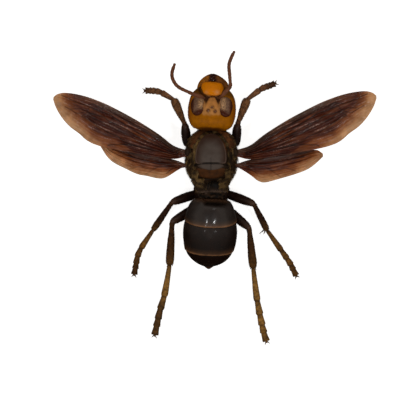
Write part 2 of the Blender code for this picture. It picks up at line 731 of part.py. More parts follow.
def add_claws(foot, path):
    """Two claws that spread from the end of a foot, which is then cut level with the floor."""
    toe = path[-1]
    forward = (toe - path[-3]).normalized()
    forward.z = 0
    claws = []
    for turn in (-CLAW_SPREAD, CLAW_SPREAD):
        direction = Matrix.Rotation(math.radians(turn), 3, "Z") @ forward
        root = toe - forward * 0.25 + Vector((0, 0, 0.12))
        claws.append(thorn("claw", root, direction, CLAW_LENGTH, CLAW_RADIUS, 0.12))
    fuse(foot, claws)
    cut_at_floor(foot)


def add_spurs(tibia, leg, knee, ankle, foot_room):
    """The spurs at the end of a shin, kept clear of the foot."""
    forward = (ankle - knee).normalized()
    inward = -1 if ankle.x > 0 else 1
    spurs = []
    for length, turn in SPURS[leg]:
        direction = Matrix.Rotation(math.radians(turn) * inward, 3, "Z") @ forward
        root = knee.lerp(ankle, 0.93)
        spurs.append(thorn("spur", root, direction, length, SPUR_RADIUS, 0.1))
    fuse(tibia, spurs)
    trim_to(tibia, foot_room)


def vein_shares(veins, share):
    """Where each lengthwise vein lies between the edges at a share of the wing's length."""
    places = []
    for root, middle, tip, _ in veins:
        bend = 1 - (2 * share - 1) ** 2
        straight = root + (tip - root) * share
        places.append(straight + bend * (middle - (root + tip) / 2))
    return places


def wing_columns(crosses):
    """Shares of the wing's length that get a column of points, with each cross vein's three."""
    foot = 0.012
    columns = []
    for station in range(WING_STATIONS + 1):
        share = station / WING_STATIONS
        if all(abs(share - cross[0]) > 2 * foot for cross in crosses):
            columns.append((share, None))
    for cross in crosses:
        columns += [(cross[0] - foot, None), (cross[0], cross), (cross[0] + foot, None)]
    return sorted(columns, key=lambda column: column[0])


def wing_rows(veins, share, chord):
    """Rows of points across the wing at one column: place, and the vein that crests there."""
    foot = min(VEIN_HALF_WIDTH / chord, 0.07)
    rows = [(0.0, None)]
    for index, place in enumerate(vein_shares(veins, share)):
        rows += [(place - foot, None), (place, index), (place + foot, None)]
    rows.append((1.0, None))
    return rows


def wing_mesh(name, front, rear, mirror, length, veins, crosses):
    """A thin membrane with raised veins, with the same triangles above and below."""
    front_edge = curve_through([Vector((*point, 0)) for point in front], 6)
    rear_edge = curve_through([Vector((*point, 0)) for point in rear], 6)
    shape = bmesh.new()
    ridge = shape.verts.layers.float.new("ridge")
    grid = []
    for share, cross in wing_columns(crosses):
        near, far = along(front_edge, share), along(rear_edge, share)
        column = []
        for place, vein in wing_rows(veins, share, (far - near).length):
            point = near.lerp(far, place)
            point.z = math.tan(math.radians(WING_RISE)) * point.x
            vertex = shape.verts.new(
                Vector((point.x * mirror * length, point.y * length, point.z)) * MM)
            if vein is not None:
                fade = (veins[vein][3] - share) / VEIN_FADE
                vertex[ridge] = VEIN_HEIGHT * max(0.0, min(1.0, fade))
            column.append(vertex)
        if cross:
            for vertex in column[2 + 3 * cross[1]:3 + 3 * cross[2]]:
                vertex[ridge] = VEIN_HEIGHT
        grid.append(column)
    for near_column, far_column in zip(grid, grid[1:]):
        for index in range(len(near_column) - 1):
            shape.faces.new((near_column[index], near_column[index + 1], far_column[index + 1],
                             far_column[index]))
    bmesh.ops.triangulate(shape, faces=shape.faces, quad_method="FIXED")
    raised = bmesh.ops.extrude_face_region(shape, geom=shape.faces[:], use_keep_orig=True)
    for item in raised["geom"]:
        if isinstance(item, bmesh.types.BMVert):
            item.co.z += (WING_THICKNESS + item[ridge]) * MM
    bmesh.ops.recalc_face_normals(shape, faces=shape.faces)
    mesh = bpy.data.meshes.new(name)
    shape.to_mesh(mesh)
    shape.free()
    mesh.attributes.remove(mesh.attributes["ridge"])
    return mesh


def build_wings(hornet, parts, materials, thorax_room):
    """The four wings, each on its root, and the small scale over each front root."""
    outlines = {"forewing": (FOREWING_FRONT, FOREWING_REAR),
                "hindwing": (HINDWING_FRONT, HINDWING_REAR)}
    for name, (root, turn, length) in WINGS.items():
        kind = name.split("_")[0]
        front, rear = outlines[kind]
        mirror = -1 if name.endswith("left") else 1
        mesh = wing_mesh(name, front, rear, mirror, length, VEINS[kind], CROSS_VEINS[kind])
        wing = add_object(name, mesh, materials["wing"], hornet, parts)
        wing.location = millimetres(root)
        wing.rotation_euler = (0, 0, math.radians(turn))
        trim_to(wing, thorax_room)
    for side, sign in (("left", -1), ("right", 1)):
        scale = add_object(f"tegula_{side}", ellipsoid(f"tegula_{side}", TEGULA_HALF_SIZE, 12, 8),
                           materials["russet"], hornet, parts)
        scale.location = millimetres((sign * TEGULA_CENTRE[0], *TEGULA_CENTRE[1:]))
        trim_to(scale, thorax_room)


def stand_at_origin(hornet, parts):
    """Move the animal so that the origin is on the floor under the middle of its box."""
    bpy.context.view_layer.update()
    corners = [piece.matrix_world @ vertex.co for piece in parts.objects
               if piece.type == "MESH" for vertex in piece.data.vertices]
    low = Vector([min(corner[axis] for corner in corners) for axis in range(3)])
    high = Vector([max(corner[axis] for corner in corners) for axis in range(3)])
    middle = (low + high) / 2
    hornet.location = (-middle.x, -middle.y, -low.z)


def main():
    """Build every piece of the hornet."""
    clear_scene()
    parts = new_collection("giant_hornet")
    helpers = new_collection("guides")
    materials = {
        "orange": chitin("orange_head_shell", (0.24, 0.085, 0.006), 0.32),
        "face": chitin("bright_face_plate", (0.38, 0.1, 0.004), 0.28),
        "jaw": chitin("brown_jaw", (0.2, 0.065, 0.012), 0.35),
        "eye": chitin("dark_eye", (0.06, 0.02, 0.012), 0.15),
        "feeler": chitin("brown_feeler", (0.15, 0.05, 0.025), 0.4),
        "satin": chitin("grey_brown_shield", (0.055, 0.04, 0.034), 0.3),
        "dark": chitin("olive_black_shell", (0.045, 0.028, 0.014), 0.45),
        "russet": chitin("russet_shell", (0.06, 0.025, 0.012), 0.35),
        "gloss": chitin("gloss_black_shell", (0.025, 0.02, 0.018), 0.2),
        "leg": chitin("dark_leg_shell", (0.03, 0.014, 0.008), 0.35),
        "shin": chitin("brown_shin_shell", (0.07, 0.032, 0.014), 0.4),
        "foot": chitin("tan_foot_shell", (0.15, 0.085, 0.04), 0.45),
        "wing": chitin("amber_wing_membrane", (0.12, 0.04, 0.018), 0.3),
    }
    hornet = add_frame("hornet_frame", (0, 0, 0), (0, 0, 0), None, parts)
    build_thorax(hornet, parts, helpers, materials)
    thorax_room = make_helper("thorax_room", thorax_mesh("thorax_room", GAP), hornet, helpers)
    build_gaster(hornet, parts, materials, thorax_room)
    head_room = build_head(hornet, parts, helpers, materials, thorax_room)
    build_feelers(hornet, parts, helpers, materials, head_room)
    for name, joints in LEG_JOINTS.items():
        half_widths = LEG_HALF_WIDTHS[name.split("_")[0]]
        build_leg(name, joints, half_widths, hornet, parts, helpers, materials, thorax_room)
    build_wings(hornet, parts, materials, thorax_room)
    stand_at_origin(hornet, parts)


main()
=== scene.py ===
"""Looks of a life-size Asian giant hornet that stands on the floor with its wings spread.

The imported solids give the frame. All sizes here are in millimetres in the hornet's own frame,
+X to its right, +Y to its head and +Z up from the floor, with the waist near X 0, Y 0. Each
finished piece is taken to its place in metres by `settle`.
"""

import math

import bpy
import numpy as np
from mathutils import Euler, Matrix, Vector, noise


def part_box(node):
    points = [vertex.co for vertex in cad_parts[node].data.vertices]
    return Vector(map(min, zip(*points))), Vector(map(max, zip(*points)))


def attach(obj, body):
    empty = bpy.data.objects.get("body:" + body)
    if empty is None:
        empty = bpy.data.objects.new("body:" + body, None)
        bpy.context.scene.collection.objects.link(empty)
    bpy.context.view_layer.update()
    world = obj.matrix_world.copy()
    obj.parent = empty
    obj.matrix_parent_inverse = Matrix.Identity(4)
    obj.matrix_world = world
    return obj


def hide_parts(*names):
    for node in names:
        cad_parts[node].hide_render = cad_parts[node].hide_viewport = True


bl_info = {
    "name": "Giant hornet model",
    "version": (1, 0, 0),
    "blender": (4, 5, 0),
    "location": "View3D > Sidebar > Hornet",
    "description": "Builds the looks of a life-size giant hornet over its packed solids",
    "category": "Object",
}

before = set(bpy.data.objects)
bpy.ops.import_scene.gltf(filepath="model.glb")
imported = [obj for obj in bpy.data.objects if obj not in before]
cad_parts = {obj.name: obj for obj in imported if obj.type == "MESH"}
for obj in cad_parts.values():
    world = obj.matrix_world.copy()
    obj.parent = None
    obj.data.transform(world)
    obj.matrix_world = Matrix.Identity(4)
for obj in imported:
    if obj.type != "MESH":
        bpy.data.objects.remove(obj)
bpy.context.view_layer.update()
MM = 0.001

# A section's squareness: 2 makes an ellipse, and more makes its corners fuller.
THORAX_SQUARENESS = 2.3
HEAD_SQUARENESS = 2.5
GASTER_SQUARENESS = 2.1
JAW_SQUARENESS = 2.4

# Thorax sections from the collar to the waist: Y, half width, Z of the belly, of the widest
# level and of the back.
THORAX_STATIONS = (
    (15.8, 2.5, 8.6, 10.2, 11.6),
    (15.6, 3.2, 7.8, 10.4, 12.4),
    (14.9, 4.2, 6.9, 10.5, 13.7),
    (13.8, 5.0, 5.9, 10.7, 14.9),
    (12.2, 5.6, 5.1, 10.9, 15.8),
    (10.2, 5.8, 4.7, 11.0, 16.3),
    (8.2, 6.0, 4.7, 11.0, 16.3),
    (6.4, 5.7, 5.0, 11.0, 15.6),
    (4.7, 4.75, 5.6, 10.6, 14.4),
    (3.2, 3.95, 6.5, 10.2, 13.1),
    (2.0, 3.65, 7.2, 9.9, 12.2),
    (1.35, 3.45, 7.8, 9.8, 11.6),
    (1.0, 3.0, 8.2, 9.7, 11.1),
)
# The thorax shield: its middle, half size and straight rear edge.
SCUTUM_CENTRE_Y = 9.4
SCUTUM_HALF_WIDTH = 4.0
SCUTUM_HALF_LENGTH = 5.7
SCUTUM_REAR = 7.6
# Outlines of the back's plates, seen from above, from the right side over the front.
SCUTUM_OUTLINE = ((3.46, 9.6), (3.2, 11.2), (2.69, 12.6), (2.05, 13.6), (1.15, 14.5), (-0.1, 14.8),
                  (-1.35, 14.5), (-2.25, 13.6), (-2.9, 12.6), (-3.5, 11.2), (-3.76, 9.6), (-3.76, 8.3),
                  (-3.35, 7.82), (-1.95, 7.76), (-0.17, 7.76), (1.6, 7.76), (3.05, 7.85), (3.42, 8.4))
SCUTELLUM_OUTLINE = ((2.85, 7.5), (2.2, 7.7), (0.0, 7.72), (-2.5, 7.7), (-3.15, 7.5), (-3.0, 7.1),
                     (-1.95, 6.66), (-0.17, 6.33), (1.57, 6.56), (2.65, 7.05))
METANOTUM_OUTLINE = ((3.5, 6.7), (2.2, 6.95), (-0.17, 6.7), (-2.5, 6.95), (-3.85, 6.7), (-3.65, 5.7),
                     (-2.85, 4.95), (-1.6, 4.5), (-0.17, 4.4), (1.3, 4.5), (2.5, 4.95), (3.3, 5.7))

# The pit over the waist, its half width and half length, and the ridge behind it.
WAIST_PIT = (0.8, 2.85)
WAIST_PIT_SIZE = (2.3, 1.15)
WAIST_RIM_Y = 1.45
# Ends of the line that the thorax's coat is unwrapped around.
THORAX_AXIS = ((0, 15.2, 10.6), (0, 1.0, 10.0))
WING_SCALE_CENTRE = (5.5, 10.5, 14.1)
WING_SCALE_SIZE = (0.62, 1.0, 0.4)
# Neck and waist: path, half widths and half heights.
TUBES = {
    "neck": (((0, 14.4, 9.6), (0.0, 15.6, 9.7), (0.05, 16.8, 9.7), (0.05, 17.8, 9.8)),
             (1.9, 1.35, 1.3, 1.6), (1.9, 1.35, 1.3, 1.6)),
    "petiole": (((0, 2.4, 9.9), (0, 1.4, 9.9), (0, 0.5, 9.95), (0, -0.5, 10.1)),
                (2.9, 3.2, 3.2, 3.1), (1.5, 1.4, 1.5, 1.9)),
}

# Gaster: how many degrees it leans to the left, and its rings: Y, Z of the axis, half width, half
# height and the lean of the ring's back to the rear in degrees.
GASTER_LEAN = 2.4
GASTER_RINGS = {
    "gaster_1": (
        (-0.25, 10.3, 2.7, 2.7, 0),
        (-0.35, 10.5, 3.95, 3.85, 0),
        (-1.0, 10.7, 4.8, 4.65, 2),
        (-2.6, 10.85, 5.5, 5.0, 10),
        (-4.0, 10.7, 5.88, 5.17, 17),
        (-4.65, 10.62, 6.03, 5.22, 20),
        (-4.86, 10.6, 6.06, 5.23, 20),
        (-5.12, 10.55, 6.02, 5.2, 20),
        (-5.16, 10.53, 5.8, 5.0, 20),
    ),
    "gaster_2": (
        (-4.7, 10.6, 5.6, 4.8, 20),
        (-5.2, 10.52, 5.86, 5.06, 20),
        (-6.4, 10.27, 6.2, 5.24, 20),
        (-8.4, 9.8, 6.33, 5.2, 20),
        (-10.3, 9.38, 6.12, 4.95, 20),
        (-11.4, 9.07, 5.87, 4.65, 20),
        (-11.6, 9.02, 5.83, 4.61, 20),
        (-11.82, 8.95, 5.76, 4.54, 20),
        (-11.86, 8.93, 5.5, 4.3, 20),
    ),
    "gaster_3": (
        (-11.5, 9.0, 5.3, 4.1, 20),
        (-12.0, 8.87, 5.52, 4.34, 20),
        (-12.9, 8.6, 5.12, 3.92, 20),
        (-13.9, 8.25, 4.35, 3.25, 20),
        (-14.7, 7.9, 3.35, 2.45, 20),
        (-15.3, 7.65, 2.2, 1.65, 20),
        (-15.5, 7.55, 1.6, 1.25, 20),
    ),
    "gaster_tip": (
        (-15.2, 7.6, 1.5, 1.15, 20),
        (-15.6, 7.45, 1.2, 0.95, 20),
        (-16.0, 7.3, 0.75, 0.6, 20),
        (-16.42, 7.1, 0.15, 0.15, 20),
    ),
}
# The hollow at the front of the gaster, sunk in and darkened with painted shade: its middle, half length
# and depth.
GASTER_HOLLOW = (0.9, -0.8)
GASTER_HOLLOW_LENGTH = 0.75
GASTER_HOLLOW_DEPTH = 0.8

# Head, in its own frame: +X right, +Y to the mouth, +Z out of the face. Its mouth is tilted down,
# and it leans to the right, by these degrees.
HEAD_CENTRE = (0.15, 21.15, 11.6)
HEAD_TILT = 18.0
HEAD_LEAN = 3.2
# Y, half width, Z of the back of the head and Z of the face.
HEAD_STATIONS = (
    (-5.78, 1.8, -0.6, 0.8),
    (-5.7, 3.0, -1.2, 1.3),
    (-5.3, 4.15, -2.0, 2.0),
    (-4.6, 4.85, -2.7, 2.5),
    (-3.0, 5.45, -3.15, 2.9),
    (-0.8, 5.6, -3.25, 3.0),
    (1.2, 5.4, -3.15, 2.9),
    (2.6, 4.95, -2.8, 2.6),
    (3.6, 4.2, -2.4, 2.2),
    (4.4, 3.4, -2.0, 1.7),
    (4.9, 2.4, -1.6, 1.2),
    (5.0, 1.2, -0.9, 0.5),
)
# Outline of the right eye around its centre, seen on the face, from its outer side.
EYE_CENTRE = (3.3, -1.0)
EYE_OUTLINE = ((1.5, 0.0), (1.4, 1.2), (0.85, 2.15), (-0.35, 2.45), (-1.35, 1.85), (-1.45, 0.85),
               (-1.3, -0.1), (-1.4, -1.1), (-0.95, -2.05), (0.05, -2.4), (1.05, -1.7))
# Each ring of an eye's dome from its rim to its crown: share of the outline, and rise.
EYE_PROFILE = ((1.0, -0.5), (1.0, 0.0), (0.98, 0.16), (0.92, 0.3), (0.82, 0.42), (0.66, 0.5),
               (0.48, 0.54), (0.28, 0.55))
# The three small eyes and the feelers' sockets on the face.
OCELLI = ((-0.85, -2.2), (0.75, -2.3), (0.0, -1.35))
SOCKETS = ((-1.75, 0.75), (1.6, 0.8))
# The frontal shield: Y of its base and of its apex, and half its width at the base.
SHIELD_BASE, SHIELD_APEX, SHIELD_HALF_WIDTH = -1.3, 1.35, 1.45
# Outline of the face plate, from its right side over the mouth.
CLYPEUS_OUTLINE = ((2.5, 4.1), (2.05, 5.15), (0.9, 5.42), (-0.38, 5.46), (-1.6, 5.42), (-2.45, 5.2),
                   (-2.88, 4.2), (-2.68, 3.0), (-2.1, 1.85), (-0.11, 1.42), (1.85, 1.85), (2.4, 2.9))

# Jaws in the head's frame, from the line where they meet: outer and inner edge and half depth
# of the left one from its hinge to its tip.
JAW_MEETING = -0.28
JAW_SECTIONS = (
    ((-3.4, 3.5), (-1.9, 3.3), 0.8),
    ((-3.52, 4.5), (-1.3, 4.1), 1.05),
    ((-3.2, 5.7), (-0.5, 4.9), 1.05),
    ((-2.55, 6.7), (0.0, 5.8), 0.95),
    ((-1.6, 7.5), (0.05, 6.6), 0.75),
    ((-0.7, 8.0), (0.1, 7.3), 0.5),
    ((-0.1, 8.15), (0.1, 7.85), 0.25),
)
JAW_LEVEL = -0.4
# The right jaw bulges out further than the left one by this share.
JAW_RIGHT_SHARE = 1.19
# Teeth: place along the meeting line, half length, half width and turn, for each jaw.
TEETH = {
    "left": ((6.0, 0.62, 0.26, 25.0), (6.75, 0.55, 0.24, 10.0), (7.45, 0.45, 0.2, 40.0)),
    "right": ((6.35, 0.7, 0.27, -15.0), (7.1, 0.5, 0.22, 20.0), (7.7, 0.35, 0.16, -30.0)),
}

# Feelers: first joint (scape), then the bends of the whip.
SCAPES = {
    "left": ((-1.5, 22.75, 14.9), (-2.6, 23.2, 15.6), (-4.75, 23.9, 16.35)),
    "right": ((1.75, 22.75, 14.9), (2.8, 23.8, 15.7), (4.5, 25.65, 16.3)),
}
WHIPS = {
    "left": ((-4.45, 23.8, 16.3), (-7.5, 25.3, 16.2), (-8.75, 26.9, 15.6), (-9.05, 28.6, 14.7),
             (-8.4, 30.9, 13.6)),
    "right": ((4.35, 25.45, 16.25), (4.15, 28.0, 16.0), (4.0, 30.4, 15.2), (4.55, 32.2, 14.4),
              (5.3, 33.7, 13.6)),
}
# Stations of the first joint, evenly spaced: share of its half width, and its dark mark.
SCAPE_STATIONS = ((0.55, 1), (0.75, 0.8), (0.62, 0.7), (0.85, 0.2), (0.98, 0), (1.05, 0), (1.05, 0),
                  (1.0, 0.2), (0.92, 0.7))
WHIP_JOINTS = 11
# Stations of each of the whip's joints: share of its length, share of its half width, dark mark.
WHIP_STATIONS = ((0.02, 0.86, 0.8), (0.16, 0.98, 0.1), (0.55, 1.0, 0), (0.86, 1.03, 0.1),
                 (0.97, 0.88, 0.8))

# Legs: hip, trochanter, knee, ankle, then the foot's bends.
LEG_JOINTS = {
    "fore_left": ((-3.4, 12.9, 6.8), (-5.6, 12.2, 6.7), (-6.15, 17.0, 9.4), (-8.7, 22.85, 4.6),
                  (-11.9, 24.75, 2.3), (-14.2, 25.2, 0.52), (-15.5, 25.2, 0.5)),
    "fore_right": ((3.4, 12.9, 6.8), (5.6, 12.2, 6.7), (6.0, 17.0, 9.4), (8.3, 22.95, 4.6),
                   (11.6, 25.5, 2.3), (13.7, 26.4, 0.52), (14.9, 26.9, 0.5)),
    "mid_left": ((-2.4, 6.6, 5.6), (-2.7, 1.3, 4.4), (-9.1, -0.95, 9.4), (-13.6, -7.4, 3.6),
                 (-16.85, -12.4, 1.2), (-17.8, -16.2, 0.52), (-18.1, -17.9, 0.5)),
    "mid_right": ((2.4, 6.6, 5.6), (2.7, 1.3, 4.4), (9.75, -1.3, 9.4), (12.95, -7.45, 3.6),
                  (18.0, -14.6, 0.9), (19.1, -16.6, 0.52), (19.9, -18.2, 0.5)),
    "hind_left": ((-2.9, 2.9, 7.3), (-2.15, -1.45, 4.25), (-9.1, -5.5, 8.9), (-9.75, -15.5, 3.6),
                  (-10.85, -22.0, 1.4), (-12.1, -26.5, 0.65), (-12.9, -30.2, 0.5),
                  (-13.3, -32.1, 0.5)),
    "hind_right": ((2.9, 2.9, 7.3), (2.15, -1.45, 4.25), (8.7, -6.9, 8.9), (9.75, -16.2, 3.6),
                   (10.5, -22.5, 1.4), (11.3, -27.0, 0.65), (12.3, -31.6, 0.5),
                   (12.9, -33.6, 0.5)),
}
# Half widths: hip joint, thigh at its middle, knee, shin at its narrow and wide end, foot.
LEG_HALF_WIDTHS = {
    "fore": (0.95, 1.12, 0.74, 0.56, 1.06, 0.82),
    "mid": (1.05, 1.12, 0.76, 0.55, 0.8, 0.8),
    "hind": (1.5, 1.18, 0.78, 0.62, 1.02, 0.9),
}
# Stations of a limb: share of the way from joint to joint, shares of the half widths at its near
# and far end, which add up to its own, and its marks.
HIP_STATIONS = ((-0.02, 0.8, 0, 0), (0.15, 1.0, 0, 0), (0.5, 1.0, 0, 0), (0.8, 0.85, 0, 0),
                (0.93, 0.6, 0, 0.6), (0.97, 0.35, 0, 0.9))
THIGH_STATIONS = ((0.0, 0.6, 0, 0.5), (0.07, 0.78, 0, 0.3), (0.11, 0.75, 0, 0.7), (0.15, 0.92, 0, 0),
                  (0.45, 1.02, 0, 0), (0.8, 0.9, 0, 0), (0.96, 0, 1.05, 0.55), (1.05, 0, 0.55, 0.9))
SHIN_STATIONS = ((-0.02, 0.75, 0, 0.9, 0.6), (0.05, 1.12, 0, 0.5, 0.6), (0.1, 0.9, 0, 0.6, 0.3),
                 (0.2, 1.05, 0, 0.2, 0.1), (0.55, 0.56, 0.56, 0, 0.1), (0.85, 0, 1.0, 0, 0.7),
                 (0.97, 0, 0.9, 0.15, 0.9), (1.01, 0, 0.6, 0.5, 0.5))
# Where each of a foot's five joints ends, as a share of its length, and the stations of each:
# share of the joint's length, share of its half width, dark mark.
FOOT_JOINT_ENDS = (0.46, 0.64, 0.78, 0.88, 1.0)
FOOT_STATIONS = ((0.1, 0.8, 0.4), (0.5, 0.88, 0.0), (0.86, 1.02, 0.1), (0.965, 1.06, 0.4),
                 (0.985, 0.76, 0.9))
# Shares of each foot's length between which it turns dark.
FOOT_DARKENS = {
    "fore_left": (0.8, 1.1), "fore_right": (0.55, 0.8), "mid_left": (0.45, 0.9),
    "mid_right": (0.75, 1.1), "hind_left": (0.36, 0.6), "hind_right": (0.78, 1.05),
}
# Spurs of the shins: length, and turn away from the shin in degrees.
SPURS = {
    "fore": ((1.4, 40.0),),
    "mid_left": ((1.5, -6.0), (1.3, 10.0)),
    "mid_right": ((2.1, 48.0), (2.7, 78.0)),
    "hind": ((1.7, -28.0), (1.5, 38.0)),
}
CLAW_LENGTH = 1.15
# Degrees between each claw and the foot's own line.
CLAW_SPREAD = 34.0

# Wings, in a frame at the root with +X out to the tip and +Y forward, as the right ones lie.
# Front and rear edge, from the root to the tip. The left hindwing's tip reaches further out and
# forward than the right one's.
WING_EDGES = {
    "forewing": (((-0.7, 0.8), (0.2, 0.9), (3.2, 1.9), (6.6, 4.5), (11.4, 7.5), (16.4, 10.2),
                  (20.7, 12.2), (25.0, 13.6), (28.8, 14.2), (30.8, 13.9), (31.8, 13.2)),
                 ((-0.7, -0.7), (0.5, -0.8), (3.5, -1.3), (10.5, -0.3), (17.9, 0.95), (21.7, 1.9),
                  (23.9, 3.0), (25.6, 4.5), (27.9, 6.2), (29.8, 8.3), (31.2, 10.6), (31.9, 12.6))),
    "hindwing": (((-1.1, 0.35), (0.0, 0.5), (3.4, 1.5), (10.5, 2.6), (17.2, 3.6), (19.1, 3.0),
                  (19.5, 2.5)),
                 ((-1.1, -0.35), (0.3, -0.6), (3.0, -2.3), (4.6, -3.5), (6.3, -3.85), (9.6, -3.0),
                  (13.9, -1.7), (16.4, -0.6), (18.4, 1.0), (19.5, 2.1))),
    "hindwing_left": (((-1.1, 0.35), (0.0, 0.5), (3.4, 1.5), (10.5, 2.6), (17.2, 4.0), (19.6, 5.2),
                       (20.7, 5.0)),
                      ((-1.1, -0.35), (0.3, -0.5), (1.2, -0.8), (3.7, -2.5), (5.2, -3.2),
                       (6.8, -3.2), (9.0, -2.75), (11.4, -2.35), (14.1, -1.2), (17.8, 0.7),
                       (20.0, 3.4), (20.7, 4.9))),
}
# Root, turn about Z in degrees, length, and how far the clear border reaches in.
WINGS = {
    "forewing_left": ((-5.75, 10.2, 12.95), -0.5, 0.96, 0.95),
    "forewing_right": ((5.75, 10.2, 12.95), 0.0, 1.005, 0.92),
    "hindwing_left": ((-6.1, 7.45, 11.75), -1.6, 0.955, 1.2),
    "hindwing_right": ((6.1, 7.45, 11.75), 0.0, 1.0, 1.0),
}
# The wings rise to their tips by these degrees.
WING_RISE = 2.0
# For each kind of wing: folds side by side, and the film's columns and rows.
WING_FOLDS = {"forewing": (7.5, 240, 100), "hindwing": (4.5, 160, 70)}
# The middle of the membrane over the underside of the solid wing.
WING_LIFT = 0.3
# Veins in the wing's frame: half width, height, then the bends.
VEINS = {"forewing": (
    (0.2, 0.16, ((0.7, 0.4), (4.1, 1.8), (8.9, 4.5), (12.9, 6.8), (16.6, 8.9), (20.0, 10.6),
                 (22.5, 11.7))),
    (0.16, 0.13, ((2.0, 0.2), (6.2, 2.0), (9.9, 3.9), (13.3, 5.9), (15.8, 7.3), (17.5, 8.6),
                  (18.7, 9.3), (20.8, 9.9), (23.1, 10.9))),
    (0.16, 0.13, ((2.2, -0.1), (6.8, 1.7), (9.9, 3.0), (13.3, 4.8), (15.4, 6.2), (18.3, 7.4),
                  (20.0, 8.6), (23.8, 9.5))),
    (0.13, 0.11, ((8.2, 0.9), (9.9, 1.8), (12.9, 3.6), (16.2, 5.3), (18.7, 6.6), (20.8, 7.6),
                  (23.6, 9.1))),
    (0.13, 0.11, ((10.4, 1.3), (15.0, 2.8), (16.4, 3.9), (18.7, 4.9), (20.8, 6.2), (22.9, 7.6),
                  (25.0, 8.7))),
    (0.15, 0.12, ((2.2, -0.3), (6.2, 0.4), (9.9, 1.3), (13.3, 1.9), (17.5, 2.0), (18.8, 1.7))),
    (0.13, 0.1, ((22.5, 11.5), (24.8, 11.4), (26.9, 12.2), (28.6, 13.0), (29.9, 13.6))),
    (0.12, 0.1, ((23.1, 10.9), (24.1, 9.8), (25.6, 10.4), (27.7, 10.3), (29.0, 10.9))),
    (0.11, 0.09, ((24.4, 9.7), (26.0, 9.3), (27.7, 10.2))),
    (0.11, 0.09, ((17.1, 8.5), (18.3, 7.5))),
    (0.11, 0.09, ((15.4, 6.2), (16.4, 5.4))),
    (0.11, 0.09, ((23.8, 9.5), (25.0, 8.7))),
), "hindwing": (
    (0.15, 0.13, ((0.8, 0.4), (5.8, 1.6), (11.3, 2.4), (14.3, 2.8), (17.4, 3.3))),
    (0.13, 0.11, ((1.2, 0.0), (5.8, 0.3), (9.6, 0.9), (12.6, 1.6), (15.1, 2.0))),
    (0.12, 0.1, ((2.0, -0.4), (5.8, -0.4), (8.4, -1.1), (11.1, -0.6), (13.2, -1.2))),
    (0.11, 0.09, ((6.4, -0.5), (8.6, -1.8), (9.7, -2.6))),
    (0.11, 0.08, ((2.7, -0.5), (4.4, -2.0))),
    (0.1, 0.08, ((12.6, 1.6), (14.3, 2.8))),
)}
# How far the clear border reaches in from the forewing's rear edge at each X. It stays brownish
# as far as the first of BORDER_CLEARS, and is clear from the second.
FOREWING_BORDER_X = (12.0, 15.0, 17.5, 20.0, 22.0, 24.5, 27.0, 30.0)
FOREWING_BORDER_DEPTH = (0.02, 1.8, 2.8, 3.2, 3.6, 4.3, 5.2, 5.9)
BORDER_CLEARS = (18.0, 27.0)
# The line on the hindwing where the clear border begins, and its depth from there.
HINDWING_BORDER = ((1.8, -1.0), (3.7, -0.9), (7.9, -0.4), (11.3, 0.2), (14.3, 2.0), (17.0, 3.8))
HINDWING_BORDER_DEPTH = 3.0
# Streaks along the wing: their length in millimetres, and how many lie side by side.
STREAK_LENGTH = 7.0
STREAK_COUNT = 8.0

# The floor lies just under the feet, which stand on Z 0. It shines by itself a little, so that
# the ground stays white under the dim light.
FLOOR_SIZE = 3000.0
FLOOR_DROP = 0.01
FLOOR_GLOW = 0.92
# Brightness of the studio's sky, by the upward share of each direction: dim straight up, where
# the camera stands in the way, and brightest around it.
SKY = ((-1.0, 0.08), (-0.1, 0.08), (0.2, 0.2), (0.5, 0.52), (0.72, 0.5), (0.88, 0.13), (1.0, 0.05))
# The sky's warm white, as scene-linear colour.
SKY_TINT = (1.0, 0.92, 0.82, 1.0)
# Lights: place in the body's frame, width in millimetres and power in watts.
LIGHTS = (
    ("left_glint", (-150.0, -112.0, 600.0), 22.0, 0.3),
    ("right_glint", (160.0, -112.0, 600.0), 22.0, 0.3),
    ("rear_window", (0.0, -260.0, 600.0), 120.0, 0.12),
    ("front_window", (150.0, 420.0, 600.0), 160.0, 0.15),
)
# The camera looks straight down from this height, over this point of the body's frame.
CAMERA_OVER = (-0.805, -2.3)
CAMERA_HEIGHT = 600.0
# Width of the view at the height of the wings.
VIEW_WIDTH = 95.68
VIEW_LEVEL = 12.0
# Width of the camera's sensor.
SENSOR = 36.0

# Each coat adds its own step to the seed.
RANDOM_SEED = 11
# Added to a length that may be nothing, before it divides.
NEARLY_ZERO = 1e-9
# How deep a hair's root sits in the skin.
HAIR_SINKS = 0.04
# The parts of a leg's coat: the shell it grows on, the joints at its ends, how many hairs are
# sown and their length as a share of the leg hair's.
LEG_COATS = (("coxa", 0, 1, 500, 1.1), ("femur", 1, 2, 900, 0.9), ("tibia", 2, 3, 1500, 0.85),
             ("tarsus", 3, -1, 1500, 0.55))
# A hair's corners: two rings of three, and the tip.
HAIR_POINTS = 7
HAIR_FACES = ((0, 2, 1), (0, 1, 4), (0, 4, 3), (1, 2, 5), (1, 5, 4), (2, 0, 3), (2, 3, 5),
              (3, 4, 6), (4, 5, 6), (5, 3, 6))
# A hair's own patch on the unwrapped skin: its corners, and half its width.
HAIR_PATCH = ((-1.0, -0.7), (1.0, -0.7), (0.0, 0.9), (-0.7, 0.0), (0.7, 0.0), (0.0, 0.5), (0.0, 1.0))
PATCH_HALF = 0.0015
# Directions in the body's and the head's frame.
RIGHT = Vector((1, 0, 0))
UP = Vector((0, 0, 1))
BACKWARD = np.array((0.0, -1.0, 0.0))
FORWARD = np.array((0.0, 1.0, 0.0))
SIDES = (("left", -1), ("right", 1))


def linear(code):
    """An sRGB hex colour as scene-linear red, green, blue and alpha."""
    channels = [int(code[start:start + 2], 16) / 255 for start in (1, 3, 5)]
    return (*(value / 12.92 if value <= 0.04045 else ((value + 0.055) / 1.055) ** 2.4
              for value in channels), 1.0)


def colour(name, description, code):
    """A colour that the user can change, with its default as an sRGB hex value."""
    return bpy.props.FloatVectorProperty(name=name, description=description, subtype="COLOR",
                                         size=4, min=0.0, max=1.0, default=linear(code))


